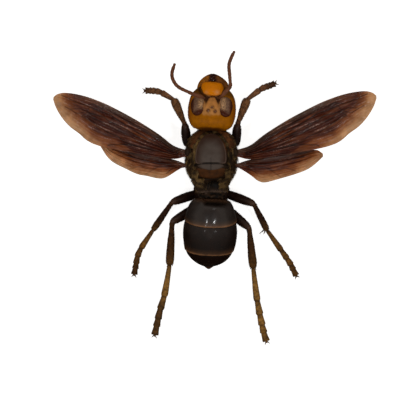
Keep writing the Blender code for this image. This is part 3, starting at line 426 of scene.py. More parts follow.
def millimetre(name, description, default):
    """A size that the user can change, in millimetres."""
    return bpy.props.FloatProperty(name=name, description=description, default=default, min=0.0)


class HornetSizes(bpy.types.PropertyGroup):
    """Sizes of the finer parts, in millimetres."""

    membrane: millimetre("Membrane", "Thickness of the wings, in millimetres", 0.07)
    pleat: millimetre("Pleats", "Height of the lengthwise folds of the wings, in millimetres", 0.16)
    scape: millimetre("Scape", "Half width of the feelers' first joint, in millimetres", 0.49)
    whip: millimetre("Whip", "Half width of the feelers, in millimetres", 0.46)
    ocellus: millimetre("Ocelli", "Half width of the three small eyes, in millimetres", 0.3)
    clypeus_rise: millimetre("Face plate", "Height of the face plate's dome, in millimetres", 1.1)
    scutum_rise: millimetre("Shield", "Height of the thorax shield's edge, in millimetres", 0.16)
    thorax_hair: millimetre("Thorax hair", "Length of the hair on the thorax, in millimetres", 1.0)
    leg_hair: millimetre("Leg hair", "Length of the bristles on the legs, in millimetres", 0.5)
    hair_width: millimetre("Hair width", "Half width of a tuft at its root, in millimetres", 0.035)


class HornetColours(bpy.types.PropertyGroup):
    """Colours of the shell, wings, eyes and hair, before the studio light."""

    head: colour("Head", "Orange shell of the crown", "#b56c00")
    cheek: colour("Cheeks", "Browner orange of the sides of the head", "#9c540c")
    forehead: colour("Forehead", "Tan skin between the eyes", "#d09050")
    shield: colour("Frontal shield", "Raised plate between the feelers", "#d18c48")
    face: colour("Face plate", "Bright orange clypeus", "#ff9400")
    # Painted highlight: the glare at the foot of the face plate, put in as paler colour.
    face_glare: colour("Face plate sheen", "Paler worn spots at the foot of the clypeus", "#f0b886")
    face_edge: colour("Face plate edge", "Darker rim of the clypeus", "#a85a08")
    jaw: colour("Jaws", "Brown-orange of the mandibles", "#b46c18")
    jaw_dim: colour("Right jaw", "Darker brown of the right mandible", "#74431c")
    tooth: colour("Teeth", "Dark cutting edge of the mandibles", "#481b0b")
    malar: colour("Malar area", "Olive-brown skin beside the face plate", "#6a4312")
    # Also painted shade, in the head's sunken sockets and grooves.
    seam: colour("Head seams", "Dark red-brown of sockets and seams", "#35150a")
    ocellus: colour("Ocelli", "Amber-brown of the three small eyes", "#7d4c2c")
    eye: colour("Eyes", "Grey-brown of the compound eyes", "#8c6a54")
    eye_rim: colour("Eye rim", "Dark red-brown of the eyes' outer and lower side", "#4c1904")
    eye_glint: colour("Eye sheen", "Pale sheen on the inner side of the eyes", "#eab783")
    feeler: colour("Feelers", "Brown of the antennae", "#845238")
    scutum: colour("Thorax shield", "Grey-brown of the mesoscutum", "#574b44")
    # The shield's darker front and sides are painted shade, and its pale side line is a painted
    # highlight.
    scutum_shaded_edge: colour("Thorax shield edge", "Darker front and sides", "#3a2012")
    scutum_bead_highlight: colour("Thorax shield bead", "Pale line along the shield's sides", "#7d675a")
    metanotum: colour("Metanotum", "Red-brown band behind the shield", "#4f2c0e")
    thorax: colour("Thorax", "Olive-black of the thorax sides", "#2f1e10")
    collar: colour("Collar", "Red-brown shoulders of the collar", "#7a4a26")
    # Painted shade: the colour put into hollows, grooves and seams.
    hollow: colour("Hollows", "Darkest places of the shell", "#0d0704")
    gaster: colour("Gaster", "Black-brown of the hind body", "#312926")
    gaster_dusk: colour("Gaster rear", "Darker red-brown towards the tip", "#180a04")
    band: colour("Bands", "Tan rear margins of the gaster's rings", "#9a6c48")
    tip: colour("Tip", "Red-brown tip of the gaster", "#522411")
    thigh: colour("Thighs", "Dark brown of hips and thighs", "#2a1710")
    knee: colour("Knees", "Lighter brown at the joints", "#5a3a26")
    fore_shin: colour("Fore shins", "Brown of the front tibiae", "#9a6a44")
    mid_shin: colour("Middle shins", "Near black of the middle tibiae", "#2c1408")
    hind_shin: colour("Hind shins", "Brown of the rear tibiae", "#4b2c10")
    fore_foot: colour("Fore feet", "Brown of the front feet", "#9a6a48")
    mid_foot: colour("Middle feet", "Brown of the middle feet", "#855a24")
    hind_foot: colour("Hind feet", "Tan of the rear feet", "#a87a3a")
    shin_end: colour("Shin ends", "Golden brown of the shins beside the ankle", "#7d5526")
    foot_end: colour("Foot ends", "Dark red-brown of the far joints of the feet", "#2c1007")
    claw: colour("Claws", "Dark brown claws and spurs", "#3c2012")
    wing: colour("Wing", "Dark brown of the inner wing", "#4d1a0b")
    wing_front: colour("Wing front", "Grey-brown of the wing's leading edge", "#5a4236")
    wing_mid: colour("Wing middle", "Red-brown between the inner wing and its border", "#965226")
    wing_border: colour("Wing border", "Amber of the clear outer border", "#e8b07c")
    wing_gold: colour("Wing streaks", "Golden brown between the folds of the wing", "#864c22")
    # Painted highlights: pale glints on the wrinkles, and the light on the crests of the folds.
    wing_spark: colour("Wing glints", "Pale glints on the wrinkled crests of the wing", "#cfa698")
    wing_crest_highlight: colour("Wing crests", "Pinkish grey-brown crests of the wing's folds", "#97695a")
    vein: colour("Veins", "Dark brown of the veins", "#240d06")
    hair: colour("Hair", "Golden olive of the hair", "#9c7c4c")
    dark_hair: colour("Dark hair", "Brown of the darker hair", "#2c1b0c")
    floor: colour("Floor", "Pale studio floor", "#f2f2f2")


# Places and paths

def body_origin():
    """The body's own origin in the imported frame, read from the thorax shield's solid."""
    low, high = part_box("mesoscutum")
    return Vector(((low.x + high.x) / 2, low.y - SCUTUM_REAR * MM, 0.0))


TO_MODEL = Matrix.Translation(body_origin()) @ Matrix.Scale(MM, 4)
HEAD_FRAME = (Matrix.Translation(HEAD_CENTRE)
              @ Euler((-math.radians(HEAD_TILT), 0, -math.radians(HEAD_LEAN))).to_matrix().to_4x4())
GASTER_FRAME = Matrix.Rotation(-math.radians(GASTER_LEAN), 4, "Z")


def smoothstep(low, high, values):
    """0 below low, 1 above high, and smooth between them."""
    share = np.clip((values - low) / (high - low), 0.0, 1.0)
    return share * share * (3 - 2 * share)


def bump_at(values, centre, half_width):
    """A soft bump around a centre."""
    return np.exp(-((values - centre) / half_width) ** 2)


def curve_through(points, steps):
    """A smooth path through the given points, as evenly stepped spans."""
    knots = [Vector(point) for point in points]
    padded = [knots[0] * 2 - knots[1], *knots, knots[-1] * 2 - knots[-2]]
    path = []
    for a, b, c, d in zip(padded, padded[1:], padded[2:], padded[3:]):
        for step in range(steps):
            t = step / steps
            path.append((b * 2 + (c - a) * t + (a * 2 - b * 5 + c * 4 - d) * t ** 2
                         + (b * 3 - a - c * 3 + d) * t ** 3) / 2)
    path.append(knots[-1])
    return path


def places_along(path, shares):
    """Points at shares of a path's length, as an array."""
    points = np.array([tuple(point) for point in path])
    reached = np.concatenate(([0], np.cumsum(np.linalg.norm(np.diff(points, axis=0), axis=1))))
    wanted = np.asarray(shares) * reached[-1]
    return np.column_stack([np.interp(wanted, reached, points[:, axis]) for axis in range(3)])


def along(path, share):
    """The point at a share of a path's length."""
    return Vector(places_along(path, [share])[0])


def flat_curve(points, steps):
    """A smooth path through flat points."""
    return curve_through([(*point, 0) for point in points], steps)


def closed_outline(points, steps):
    """A smooth closed outline through flat points."""
    wrapped = flat_curve((*points[-2:], *points, *points[:2]), steps)
    return [(point.x, point.y) for point in wrapped[2 * steps:(2 + len(points)) * steps]]


def distance_to_path(points, path):
    """Distance of each flat point to a bent line, and its side: positive on the left."""
    best = np.full(len(points), 1e9)
    side = np.zeros(len(points))
    for start, end in zip(path, path[1:]):
        start, end = np.array(start[:2], float), np.array(end[:2], float)
        run = end - start
        share = np.clip(((points - start) @ run) / (run @ run), 0, 1)
        away = points - (start + share[:, None] * run)
        distance = np.linalg.norm(away, axis=1)
        nearer = distance < best
        side[nearer] = np.sign(run[0] * away[nearer, 1] - run[1] * away[nearer, 0])
        best[nearer] = distance[nearer]
    return best, side


def unit(vectors, least=0.0):
    """Vectors brought to length 1. Least keeps those that may have no length from failing."""
    return vectors / (np.linalg.norm(vectors, axis=1)[:, None] + least)


def arch(across, squareness):
    """Height of a section's outline, 1 at its middle, at shares of its half width."""
    return (1 - np.clip(np.abs(across), 0, 0.98) ** squareness) ** (1 / squareness)


def wander(points, size_mm, seed=0.0):
    """Smooth noise from -1 to 1 at each point, with features of the given size."""
    shift = Vector((seed, seed * 1.7, seed * 0.6))
    return np.array([noise.noise(Vector(point) / size_mm + shift) for point in points])


# Modelling

def deselect_all():
    """Leave object mode with nothing selected, since operators act on all that is."""
    if bpy.context.object and bpy.context.object.mode != "OBJECT":
        bpy.ops.object.mode_set(mode="OBJECT")
    bpy.ops.object.select_all(action="DESELECT")


def select_only(piece):
    """Make one piece the active and only selected object."""
    deselect_all()
    piece.select_set(True)
    bpy.context.view_layer.objects.active = piece


def named(name):
    """The piece that an operator has just added, under its own name."""
    piece = bpy.context.object
    piece.name = piece.data.name = name
    return piece


def edit_all(piece):
    """Open a piece in edit mode with all of it selected."""
    select_only(piece)
    bpy.ops.object.mode_set(mode="EDIT")
    bpy.ops.mesh.select_all(action="SELECT")


def add_object(name, data):
    """An object in the scene for a new mesh, light or camera."""
    item = bpy.data.objects.new(name, data)
    bpy.context.scene.collection.objects.link(item)
    return item


def points_of(piece, wanted="co"):
    """A piece's points as an array, or with "normal" their normals."""
    values = np.empty(len(piece.data.vertices) * 3)
    piece.data.vertices.foreach_get(wanted, values)
    return values.reshape(-1, 3)


def move_points(piece, points):
    """Give a piece new points."""
    piece.data.vertices.foreach_set("co", np.asarray(points).ravel())
    piece.data.update()


def push_out(piece, distances):
    """Move each point of a piece along its normal."""
    move_points(piece, points_of(piece) + points_of(piece, "normal") * distances[:, None])


def mark(piece, name, values):
    """Store one value for all points or one for each, which the material reads by name."""
    layer = piece.data.attributes.get(name) or piece.data.attributes.new(name, "FLOAT", "POINT")
    layer.data.foreach_set("value", np.full(len(piece.data.vertices), values, dtype=np.float32))


def points_rim(piece):
    """A plate's share of its outline at each point: 1 at the rim."""
    values = np.empty(len(piece.data.vertices), dtype=np.float32)
    piece.data.attributes["rim"].data.foreach_get("value", values)
    return values


def face_out(piece):
    """Turn all faces of a piece outwards."""
    edit_all(piece)
    bpy.ops.mesh.normals_make_consistent(inside=False)
    bpy.ops.object.mode_set(mode="OBJECT")


def apply_modifier(piece, kind, **settings):
    """Put a modifier on a piece and apply it."""
    select_only(piece)
    modifier = piece.modifiers.new(kind.title(), kind)
    for key, value in settings.items():
        setattr(modifier, key, value)
    bpy.ops.object.modifier_apply(modifier=modifier.name)


def filled_circle(name, sides):
    """A flat filled circle, left in edit mode with all of it selected."""
    deselect_all()
    bpy.ops.mesh.primitive_circle_add(vertices=sides, radius=1.0, fill_type="NGON", calc_uvs=False)
    piece = named(name)
    edit_all(piece)
    return piece


def corner_numbers(cage, sides):
    """Which corner of the first circle each point of a cage stands at."""
    turns = np.arctan2(cage[:, 1], cage[:, 0]) / (2 * math.pi) * sides
    return np.floor(turns + 0.25).astype(int) % sides


def drawn_out(name, rings, levels=1, marks=None):
    """A closed tube: a filled circle drawn out once for each further ring, set to its sections
    and rounded. Marks give a value for each ring."""
    sides = len(rings[0])
    piece = filled_circle(name, sides)
    for _ in rings[1:]:
        bpy.ops.mesh.extrude_region_move(TRANSFORM_OT_translate={"value": (0.0, 0.0, 1.0)})
    bpy.ops.object.mode_set(mode="OBJECT")
    cage = points_of(piece)
    ring_of = np.rint(cage[:, 2]).astype(int)
    shaped = np.array([[tuple(point) for point in ring] for ring in rings])
    move_points(piece, shaped[ring_of, corner_numbers(cage, sides)])
    for mark_name, values in (marks or {}).items():
        mark(piece, mark_name, np.asarray(values)[ring_of])
    face_out(piece)
    apply_modifier(piece, "SUBSURF", levels=levels, render_levels=levels)
    return piece


def oval(centre, side, up, half_width, above, below, sides, squareness=2.0):
    """One closed section, which may be deeper below its middle than above."""
    ring = []
    for index in range(sides):
        angle = 2 * math.pi * (index + 0.5) / sides
        across = math.copysign(abs(math.cos(angle)) ** (2 / squareness), math.cos(angle))
        upward = math.copysign(abs(math.sin(angle)) ** (2 / squareness), math.sin(angle))
        ring.append(centre + side * (across * half_width)
                    + up * (upward * (above if upward > 0 else below)))
    return ring


def limb_rings(path, half_widths, half_heights, sides=12):
    """Oval sections along a path, square to it."""
    rings = []
    last = len(path) - 1
    for index, point in enumerate(path):
        forward = (path[min(index + 1, last)] - path[max(index - 1, 0)]).normalized()
        side = forward.cross(UP).normalized()
        up = side.cross(forward)
        rings.append(oval(point, side, up, half_widths[index], half_heights[index],
                          half_heights[index], sides))
    return rings


def thorn(name, root, direction, length, half_width, droop):
    """A claw or spur: a short tapering horn that curves down towards its tip."""
    direction = direction.normalized()
    path = [root + direction * length * share - UP * (droop * length * share ** 2)
            for share in (0.0, 0.35, 0.7, 1.0)]
    widths = [half_width * share for share in (1.0, 0.8, 0.5, 0.15)]
    return drawn_out(name, limb_rings(path, widths, widths, 8))


def egg(name, centre, half_size, segments=24, rounds=16):
    """A smooth egg from a sphere primitive, ready to be shaped further."""
    deselect_all()
    bpy.ops.mesh.primitive_uv_sphere_add(segments=segments, ring_count=rounds, radius=1.0,
                                         calc_uvs=False)
    piece = named(name)
    move_points(piece, points_of(piece) * np.array(half_size) + np.array(centre))
    return piece


def plate(name, outline, profile, height):
    """A domed plate: a filled circle inset ring by ring, set to an outline, closed below.
    The profile gives the share of the outline and the rise of each ring, from rim to crown."""
    sides = len(outline)
    step = 0.5 / len(profile)
    piece = filled_circle(name, sides)
    for _ in profile[1:]:
        bpy.ops.mesh.inset(thickness=step)
    bpy.ops.mesh.select_all(action="SELECT")
    bpy.ops.mesh.fill_holes(sides=0)
    bpy.ops.object.mode_set(mode="OBJECT")
    cage = points_of(piece)
    radius = np.hypot(cage[:, 0], cage[:, 1])
    ring_of = np.rint((1 - radius) * math.cos(math.pi / sides) / step).astype(int)
    rim = np.array(outline)
    middle = rim.mean(axis=0)
    share, rise = np.array(profile)[ring_of].T
    flat = middle + (rim[corner_numbers(cage, sides)] - middle) * share[:, None]
    move_points(piece, np.column_stack((flat, height(flat) + rise)))
    mark(piece, "rim", share)
    face_out(piece)
    apply_modifier(piece, "SUBSURF", levels=2, render_levels=2)
    return piece


def joined(name, pieces):
    """Several pieces made one."""
    deselect_all()
    for piece in pieces:
        piece.select_set(True)
    bpy.context.view_layer.objects.active = pieces[0]
    bpy.ops.object.join()
    pieces[0].name = pieces[0].data.name = name
    return pieces[0]


def settle(piece, material, nodes=(), own_frame=Matrix()):
    """Take a finished piece to its place in metres, hang it on the body and hide the solids it stands
    for.
    """
    piece.data.transform(TO_MODEL @ own_frame)
    piece.data.update()
    piece.data.materials.clear()
    piece.data.materials.append(material)
    select_only(piece)
    bpy.ops.object.shade_smooth()
    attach(piece, "root")
    if nodes:
        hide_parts(*nodes)
    return piece


# Materials

def add_node(tree, kind, settings=None, links=None):
    """Add a node, set its properties or inputs, and link sockets of other nodes to it."""
    node = tree.nodes.new(kind)
    for key, value in (settings or {}).items():
        if isinstance(key, str) and hasattr(node, key):
            setattr(node, key, value)
        else:
            node.inputs[key].default_value = value
    for key, socket in (links or {}).items():
        tree.links.new(socket, node.inputs[key])
    return node


def per_metre(size_mm):
    """A texture's scale for features of a size in millimetres."""
    return 1 / (size_mm * MM)


# Socket numbers of a Mix node set to colours.
MIX_A, MIX_B, MIX_OUT = 6, 7, 2
CHITIN_IOR = 1.5
# Patterns in millimetres: the shell's swellings, then on the wing its clouds of brown and its
# wrinkles, and how deep wrinkles and streaks are.
WAVE_MM = 0.9
WING_CLOUD_MM = 2.2
WRINKLE_MM = 0.4
WRINKLE_DEPTH = 0.045
STREAK_DEPTH = 0.18


def new_material(name):
    """A new material, its nodes and its shader."""
    material = bpy.data.materials.new(name)
    material.use_nodes = True
    return material, material.node_tree, material.node_tree.nodes["Principled BSDF"]


def set_sockets(shader, values):
    """Set constants on the shader's own sockets."""
    for socket, value in values.items():
        shader.inputs[socket].default_value = value


def cuticle(name, base, regions=(), roughness=0.4, gloss=0.5, coat=0.0, pit_mm=0.2, pit_depth=0.006,
            mottle=0.25, mottle_mm=1.2, wave_depth=0.01, facets=False):
    """Insect shell: hard, waxy cuticle grown in place, with fine pits between smooth swellings.
    Its colour is a base shade clouded by mottles, and each region paints over it where the
    piece's own mark of that name is high. Facets make the pits an even grid of tiny domes."""
    material, tree, shader = new_material(name)
    place = add_node(tree, "ShaderNodeTexCoord").outputs["Object"]
    clouds = add_node(tree, "ShaderNodeTexNoise",
                      {"Scale": per_metre(mottle_mm), "Detail": 4.0, "Roughness": 0.6},
                      {"Vector": place}).outputs["Fac"]
    paint = add_node(tree, "ShaderNodeRGB")
    paint.outputs[0].default_value = base
    paint = paint.outputs[0]
    for mark_name, shade, strength in regions:
        share = add_node(tree, "ShaderNodeAttribute",
                         {"attribute_name": mark_name}).outputs["Fac"]
        amount = add_node(tree, "ShaderNodeMath", {"operation": "MULTIPLY", 1: strength},
                          {0: share}).outputs[0]
        paint = add_node(tree, "ShaderNodeMix", {"data_type": "RGBA", MIX_B: shade},
                         {0: amount, MIX_A: paint}).outputs[MIX_OUT]
    darker = add_node(tree, "ShaderNodeMapRange",
                      {"From Min": 0.3, "From Max": 0.7,
                       "To Min": 1 - mottle, "To Max": 1 + mottle * 0.6},
                      {"Value": clouds}).outputs["Result"]
    paint = add_node(tree, "ShaderNodeVectorMath", {"operation": "SCALE"},
                     {0: paint, "Scale": darker}).outputs[0]
    tree.links.new(paint, shader.inputs["Base Color"])
    pits = add_node(tree, "ShaderNodeTexVoronoi",
                    {"feature": "F1", "Scale": per_metre(pit_mm),
                     "Randomness": 0.25 if facets else 1.0},
                    {"Vector": place}).outputs["Distance"]
    hollow = add_node(tree, "ShaderNodeMapRange", {"From Min": 0.0, "From Max": 0.45},
                      {"Value": pits}).outputs["Result"]
    waves = add_node(tree, "ShaderNodeTexNoise", {"Scale": per_metre(WAVE_MM), "Detail": 3.0},
                     {"Vector": place}).outputs["Fac"]
    relief = add_node(tree, "ShaderNodeBump", {"Strength": 1.0, "Distance": wave_depth * MM},
                      {"Height": waves}).outputs["Normal"]
    relief = add_node(tree, "ShaderNodeBump",
                      {"Strength": 1.0, "Distance": pit_depth * MM, "invert": facets},
                      {"Height": hollow, "Normal": relief}).outputs["Normal"]
    tree.links.new(relief, shader.inputs["Normal"])
    wear = add_node(tree, "ShaderNodeMapRange",
                    {"From Min": 0.25, "From Max": 0.75, "To Min": roughness * 0.8,
                     "To Max": roughness * 1.25}, {"Value": clouds}).outputs["Result"]
    tree.links.new(wear, shader.inputs["Roughness"])
    set_sockets(shader, {"IOR": CHITIN_IOR, "Specular IOR Level": gloss, "Coat Weight": coat,
                         "Coat Roughness": 0.12})
    return material


def hair_material(name, shade, darker):
    """Fine insect hair: thin, stiff bristles of the same stuff as the shell, darker at the root."""
    material, tree, shader = new_material(name)
    share = add_node(tree, "ShaderNodeAttribute", {"attribute_name": "shade"}).outputs["Fac"]
    paint = add_node(tree, "ShaderNodeMix", {"data_type": "RGBA", MIX_A: darker, MIX_B: shade},
                     {0: share}).outputs[MIX_OUT]
    tree.links.new(paint, shader.inputs["Base Color"])
    set_sockets(shader, {"Roughness": 0.5, "Specular IOR Level": 0.3})
    return material


def membrane(name, colours):
    """Wing membrane: two thin layers of clear cuticle with smoky pigment, stretched over veins.
    Dark brown within, amber and half clear at the outer border, with a wrinkled satin sheen."""
    material, tree, shader = new_material(name)
    place = add_node(tree, "ShaderNodeTexCoord").outputs["Object"]
    clouds = add_node(tree, "ShaderNodeTexNoise",
                      {"Scale": per_metre(WING_CLOUD_MM), "Detail": 5.0, "Roughness": 0.6},
                      {"Vector": place}).outputs["Fac"]
    border, vein, front, crest, outward, share = (
        add_node(tree, "ShaderNodeAttribute", {"attribute_name": mark_name}).outputs["Fac"]
        for mark_name in ("border", "vein", "front", "crest", "outward", "share"))
    flow = add_node(tree, "ShaderNodeCombineXYZ", None, {0: outward, 1: share}).outputs[0]
    flow = add_node(tree, "ShaderNodeMapping", {"Scale": (1 / STREAK_LENGTH, STREAK_COUNT, 1.0)},
                    {"Vector": flow}).outputs[0]
    streaks = add_node(tree, "ShaderNodeTexNoise",
                       {"Scale": 1.0, "Detail": 3.0, "Roughness": 0.45, "Distortion": 0.8},
                       {"Vector": flow}).outputs["Fac"]
    golden = add_node(tree, "ShaderNodeMapRange",
                      {"From Min": 0.52, "From Max": 0.74, "To Max": 0.26},
                      {"Value": streaks}).outputs["Result"]
    dusky = add_node(tree, "ShaderNodeMapRange",
                     {"From Min": 0.5, "From Max": 0.32, "To Max": 0.4},
                     {"Value": streaks}).outputs["Result"]
    ragged = add_node(tree, "ShaderNodeMath", {"operation": "MULTIPLY_ADD", 1: 0.3, 2: -0.15},
                      {0: clouds}).outputs[0]
    streaked = add_node(tree, "ShaderNodeMath", {"operation": "MULTIPLY_ADD", 1: 0.7, 2: -0.35},
                        {0: streaks}).outputs[0]
    for amount in (streaked, border):
        ragged = add_node(tree, "ShaderNodeMath", {"operation": "ADD"},
                          {0: amount, 1: ragged}).outputs[0]
    browned = add_node(tree, "ShaderNodeMapRange",
                       {"interpolation_type": "SMOOTHSTEP", "From Min": -0.1, "From Max": 0.5},
                       {"Value": ragged}).outputs["Result"]
    clear = add_node(tree, "ShaderNodeMapRange",
                     {"interpolation_type": "SMOOTHSTEP", "From Min": 0.3, "From Max": 1.05},
                     {"Value": ragged}).outputs["Result"]
    paint = add_node(tree, "ShaderNodeMix",
                     {"data_type": "RGBA", MIX_A: colours.wing, MIX_B: colours.wing_front},
                     {0: front}).outputs[MIX_OUT]
    for amount, shade in ((golden, colours.wing_gold), (dusky, colours.vein)):
        paint = add_node(tree, "ShaderNodeMix", {"data_type": "RGBA", MIX_B: shade},
                         {0: amount, MIX_A: paint}).outputs[MIX_OUT]
    wrinkles = add_node(tree, "ShaderNodeTexNoise",
                        {"Scale": per_metre(WRINKLE_MM), "Detail": 3.0, "Distortion": 0.6},
                        {"Vector": place}).outputs["Fac"]
    # Painted glints where the wrinkles rise on the folds' crests.
    spark = add_node(tree, "ShaderNodeMapRange", {"From Min": 0.5, "From Max": 0.62, "To Max": 0.9},
                     {"Value": wrinkles}).outputs["Result"]
    spark = add_node(tree, "ShaderNodeMath", {"operation": "MULTIPLY"},
                     {0: spark, 1: crest}).outputs[0]
    # The crests of the folds are lightened as a painted highlight.
    for amount, shade in ((browned, colours.wing_mid), (clear, colours.wing_border),
                          (crest, colours.wing_crest_highlight), (vein, colours.vein),
                          (spark, colours.wing_spark)):
        paint = add_node(tree, "ShaderNodeMix", {"data_type": "RGBA", MIX_B: shade},
                         {0: amount, MIX_A: paint}).outputs[MIX_OUT]
    darker = add_node(tree, "ShaderNodeMapRange",
                      {"From Min": 0.3, "From Max": 0.7, "To Min": 0.75, "To Max": 1.2},
                      {"Value": clouds}).outputs["Result"]
    paint = add_node(tree, "ShaderNodeVectorMath", {"operation": "SCALE"},
                     {0: paint, "Scale": darker}).outputs[0]
    tree.links.new(paint, shader.inputs["Base Color"])
    opacity = add_node(tree, "ShaderNodeMapRange", {"From Min": 0.6, "To Min": 1.0, "To Max": 0.86},
                       {"Value": clear}).outputs["Result"]
    tree.links.new(opacity, shader.inputs["Alpha"])
    relief = add_node(tree, "ShaderNodeBump", {"Strength": 1.0, "Distance": WRINKLE_DEPTH * MM},
                      {"Height": wrinkles}).outputs["Normal"]
    relief = add_node(tree, "ShaderNodeBump", {"Strength": 1.0, "Distance": STREAK_DEPTH * MM},
                      {"Height": streaks, "Normal": relief}).outputs["Normal"]
    tree.links.new(relief, shader.inputs["Normal"])
    set_sockets(shader, {"Roughness": 0.22, "IOR": CHITIN_IOR, "Specular IOR Level": 0.35})
    return material


# Head

def face_level(flat):
    """Height of the face over the head's own middle plane at flat places."""
    stations = np.array(HEAD_STATIONS)
    half_width, back, face = (np.interp(flat[:, 1], stations[:, 0], stations[:, column])
                              for column in (1, 2, 3))
    middle = (back + face) / 2
    return middle + (face - middle) * arch(flat[:, 0] / half_width, HEAD_SQUARENESS)


def carve_head(head):
    """Raise the frontal shield, sink the feeler sockets and seams, and mark the regions."""
    points = points_of(head)
    x, y, z = points.T
    face = smoothstep(0.2, 1.4, z)
    reach = np.clip((SHIELD_APEX - y) / (SHIELD_APEX - SHIELD_BASE), 0, 1)
    edge = np.abs(x + 0.05) - SHIELD_HALF_WIDTH * reach ** 0.42
    shield = (smoothstep(0.1, -0.14, edge) * smoothstep(SHIELD_BASE - 0.7, SHIELD_BASE + 0.4, y)
              * face)
    groove = bump_at(edge, 0.27, 0.24) * smoothstep(-1.0, 0.3, y) * smoothstep(2.0, 1.4, y) * face
    sockets = sum(bump_at(np.hypot(x - sx, y - sy), 0, 0.55) for sx, sy in SOCKETS) * face
    crown_line = bump_at(x, -0.1, 0.12) * smoothstep(-2.6, -3.4, y) * face
    rings = sum(bump_at(np.hypot(x - ox, y - oy), 0.38, 0.1) for ox, oy in OCELLI) * face
    seam = bump_at(np.hypot((x + 0.3) / 2.75, (y - 3.4) / 2.1), 1.05, 0.12) * face
    lift = (0.26 * shield - 0.2 * groove - 0.45 * sockets - 0.05 * crown_line
            - 0.06 * rings - 0.2 * seam + 0.03 * wander(points, 1.3))
    push_out(head, lift)
    half_forehead = np.interp(y, (-3.6, -2.8, -1.0, 0.6, 1.6), (1.3, 2.2, 2.1, 1.9, 1.4))
    forehead = (smoothstep(0.4, -0.3, np.abs(x + 0.1) - half_forehead + 0.2 * wander(points, 0.6))
                * smoothstep(-3.5, -2.8, y + 0.35 * wander(points, 0.7))
                * smoothstep(2.0, 1.2, y) * face)
    mark(head, "forehead", forehead)
    mark(head, "shield", shield)
    mark(head, "cheek", smoothstep(4.0, 5.3, np.abs(x)) * smoothstep(-5.0, -3.0, y))
    mark(head, "malar", smoothstep(1.2, 2.2, y) * smoothstep(5.4, 4.6, y))
    # The dark mark is partly the seams' own red-brown and partly painted shade in the sunken sockets,
    # grooves, rings of the ocelli and the lower rim.
    mark(head, "dark", np.clip(groove * 1.3 + sockets * 1.4 + rings * 0.8 + seam * 0.9
                               + smoothstep(-5.5, -5.85, y), 0, 1))


def jaw(side, sign):
    """One mandible: a broad curved blade with dark, blunt teeth where it meets the other. The
    sections are those of the left one, and a sign of -1 mirrors them."""
    rings = []
    for outer, inner, half_depth in JAW_SECTIONS:
        wider = JAW_RIGHT_SHARE if sign < 0 else 1.0
        outer = Vector((outer[0] * sign * wider + JAW_MEETING, outer[1], JAW_LEVEL))
        inner = Vector((inner[0] * sign + JAW_MEETING, inner[1], JAW_LEVEL))
        across = inner - outer
        rings.append(oval((outer + inner) / 2, across.normalized(), UP, across.length / 2,
                          half_depth, half_depth, 20, JAW_SQUARENESS))
    blade = drawn_out(f"jaw_{side}", rings, 3)
    points = points_of(blade)
    inward = (points[:, 0] - JAW_MEETING) * sign
    streaks = wander(points * (1.0, 0.4, 1.0), 0.35, 4.0)
    groove = bump_at(inward + 0.45 * (points[:, 1] - 5.2), -2.2, 0.25)
    groove *= smoothstep(0, 0.5, points[:, 2])
    push_out(blade, 0.035 * streaks - 0.1 * groove)
    ragged = 0.5 * wander(points, 0.45, 2.0)
    mark(blade, "tooth", smoothstep(-1.2, -0.5, inward + ragged) * smoothstep(5.4, 6.4, points[:, 1]))
    mark(blade, "dim", 1.0 if sign < 0 else 0.0)
    teeth = []
    for level, half_length, half_width, turn in TEETH[side]:
        tooth = egg("tooth", (0, 0, 0), (half_length, half_width, half_width), 16, 12)
        spin = np.array(Matrix.Rotation(math.radians(turn), 3, "Z"))
        rise = float(np.interp(level, (6.0, 7.6), (0.55, 0.2)))
        centre = np.array((JAW_MEETING - sign * 0.25, level, rise))
        move_points(tooth, points_of(tooth) @ spin.T + centre)
        teeth.append(tooth)
    return blade, joined(f"teeth_{side}", teeth)


def eye(side, sign):
    """One compound eye: a kidney-shaped dome set in the face, with its sinus on the inner side."""
    centre = np.array((EYE_CENTRE[0] * sign - 0.1, EYE_CENTRE[1]))
    outline = [(centre[0] + x * sign, centre[1] + y) for x, y in closed_outline(EYE_OUTLINE, 4)]
    if sign < 0:
        outline.reverse()
    piece = plate(f"compound_eye_{side}", outline, EYE_PROFILE, face_level)
    points = points_of(piece)
    outward = (points[:, 0] - centre[0]) * sign
    lengthwise = points[:, 1] - centre[1]
    ragged = 0.12 * wander(points, 0.45)
    outer = np.maximum(smoothstep(0.4, 1.2, outward + ragged),
                       smoothstep(-0.7, -1.8, lengthwise + 0.35 * outward + ragged))
    mark(piece, "outer", np.maximum(outer, smoothstep(0.93, 1.0, points_rim(piece))))
    # The inner mark paints the pale inner side: partly the eye's paler tan, partly a painted sheen of
    # glare on the lenses.
    pale = 0.6 + 0.9 * wander(points, 0.32, 8.0)
    mark(piece, "inner", np.clip(pale, 0.1, 1) * smoothstep(0.25, -0.6, outward + ragged)
         * smoothstep(-1.9, -0.3, lengthwise) * smoothstep(2.5, 1.7, lengthwise))
    return piece


def clypeus(rise):
    """The face plate: a domed, rounded shield over the mouth, with a narrow rolled rim."""
    profile = ((1.0, -0.9), (1.0, -0.1), (0.97, 0.25 * rise), (0.91, 0.5 * rise), (0.8, 0.7 * rise),
               (0.64, 0.86 * rise), (0.44, 0.96 * rise), (0.22, rise))
    piece = plate("face_plate", closed_outline(CLYPEUS_OUTLINE, 4), profile,
                  lambda flat: 1.9 - 0.3 * (flat[:, 1] - 3.3) - 0.06 * (flat[:, 0] + 0.3) ** 2)
    points = points_of(piece)
    mark(piece, "edge", np.maximum(smoothstep(0.86, 1.0, points_rim(piece)),
                                   0.7 * smoothstep(4.6, 5.4, points[:, 1])))
    # Two pale patches at the plate's foot, marked worn: a painted highlight of glare.
    worn = (bump_at(np.hypot(points[:, 0] - 1.0, points[:, 1] - 2.35), 0, 0.5)
            + 0.6 * bump_at(np.hypot(points[:, 0] + 1.5, points[:, 1] - 2.15), 0, 0.4))
    mark(piece, "worn", worn * (0.75 + 0.8 * wander(points, 0.3)))
    return piece


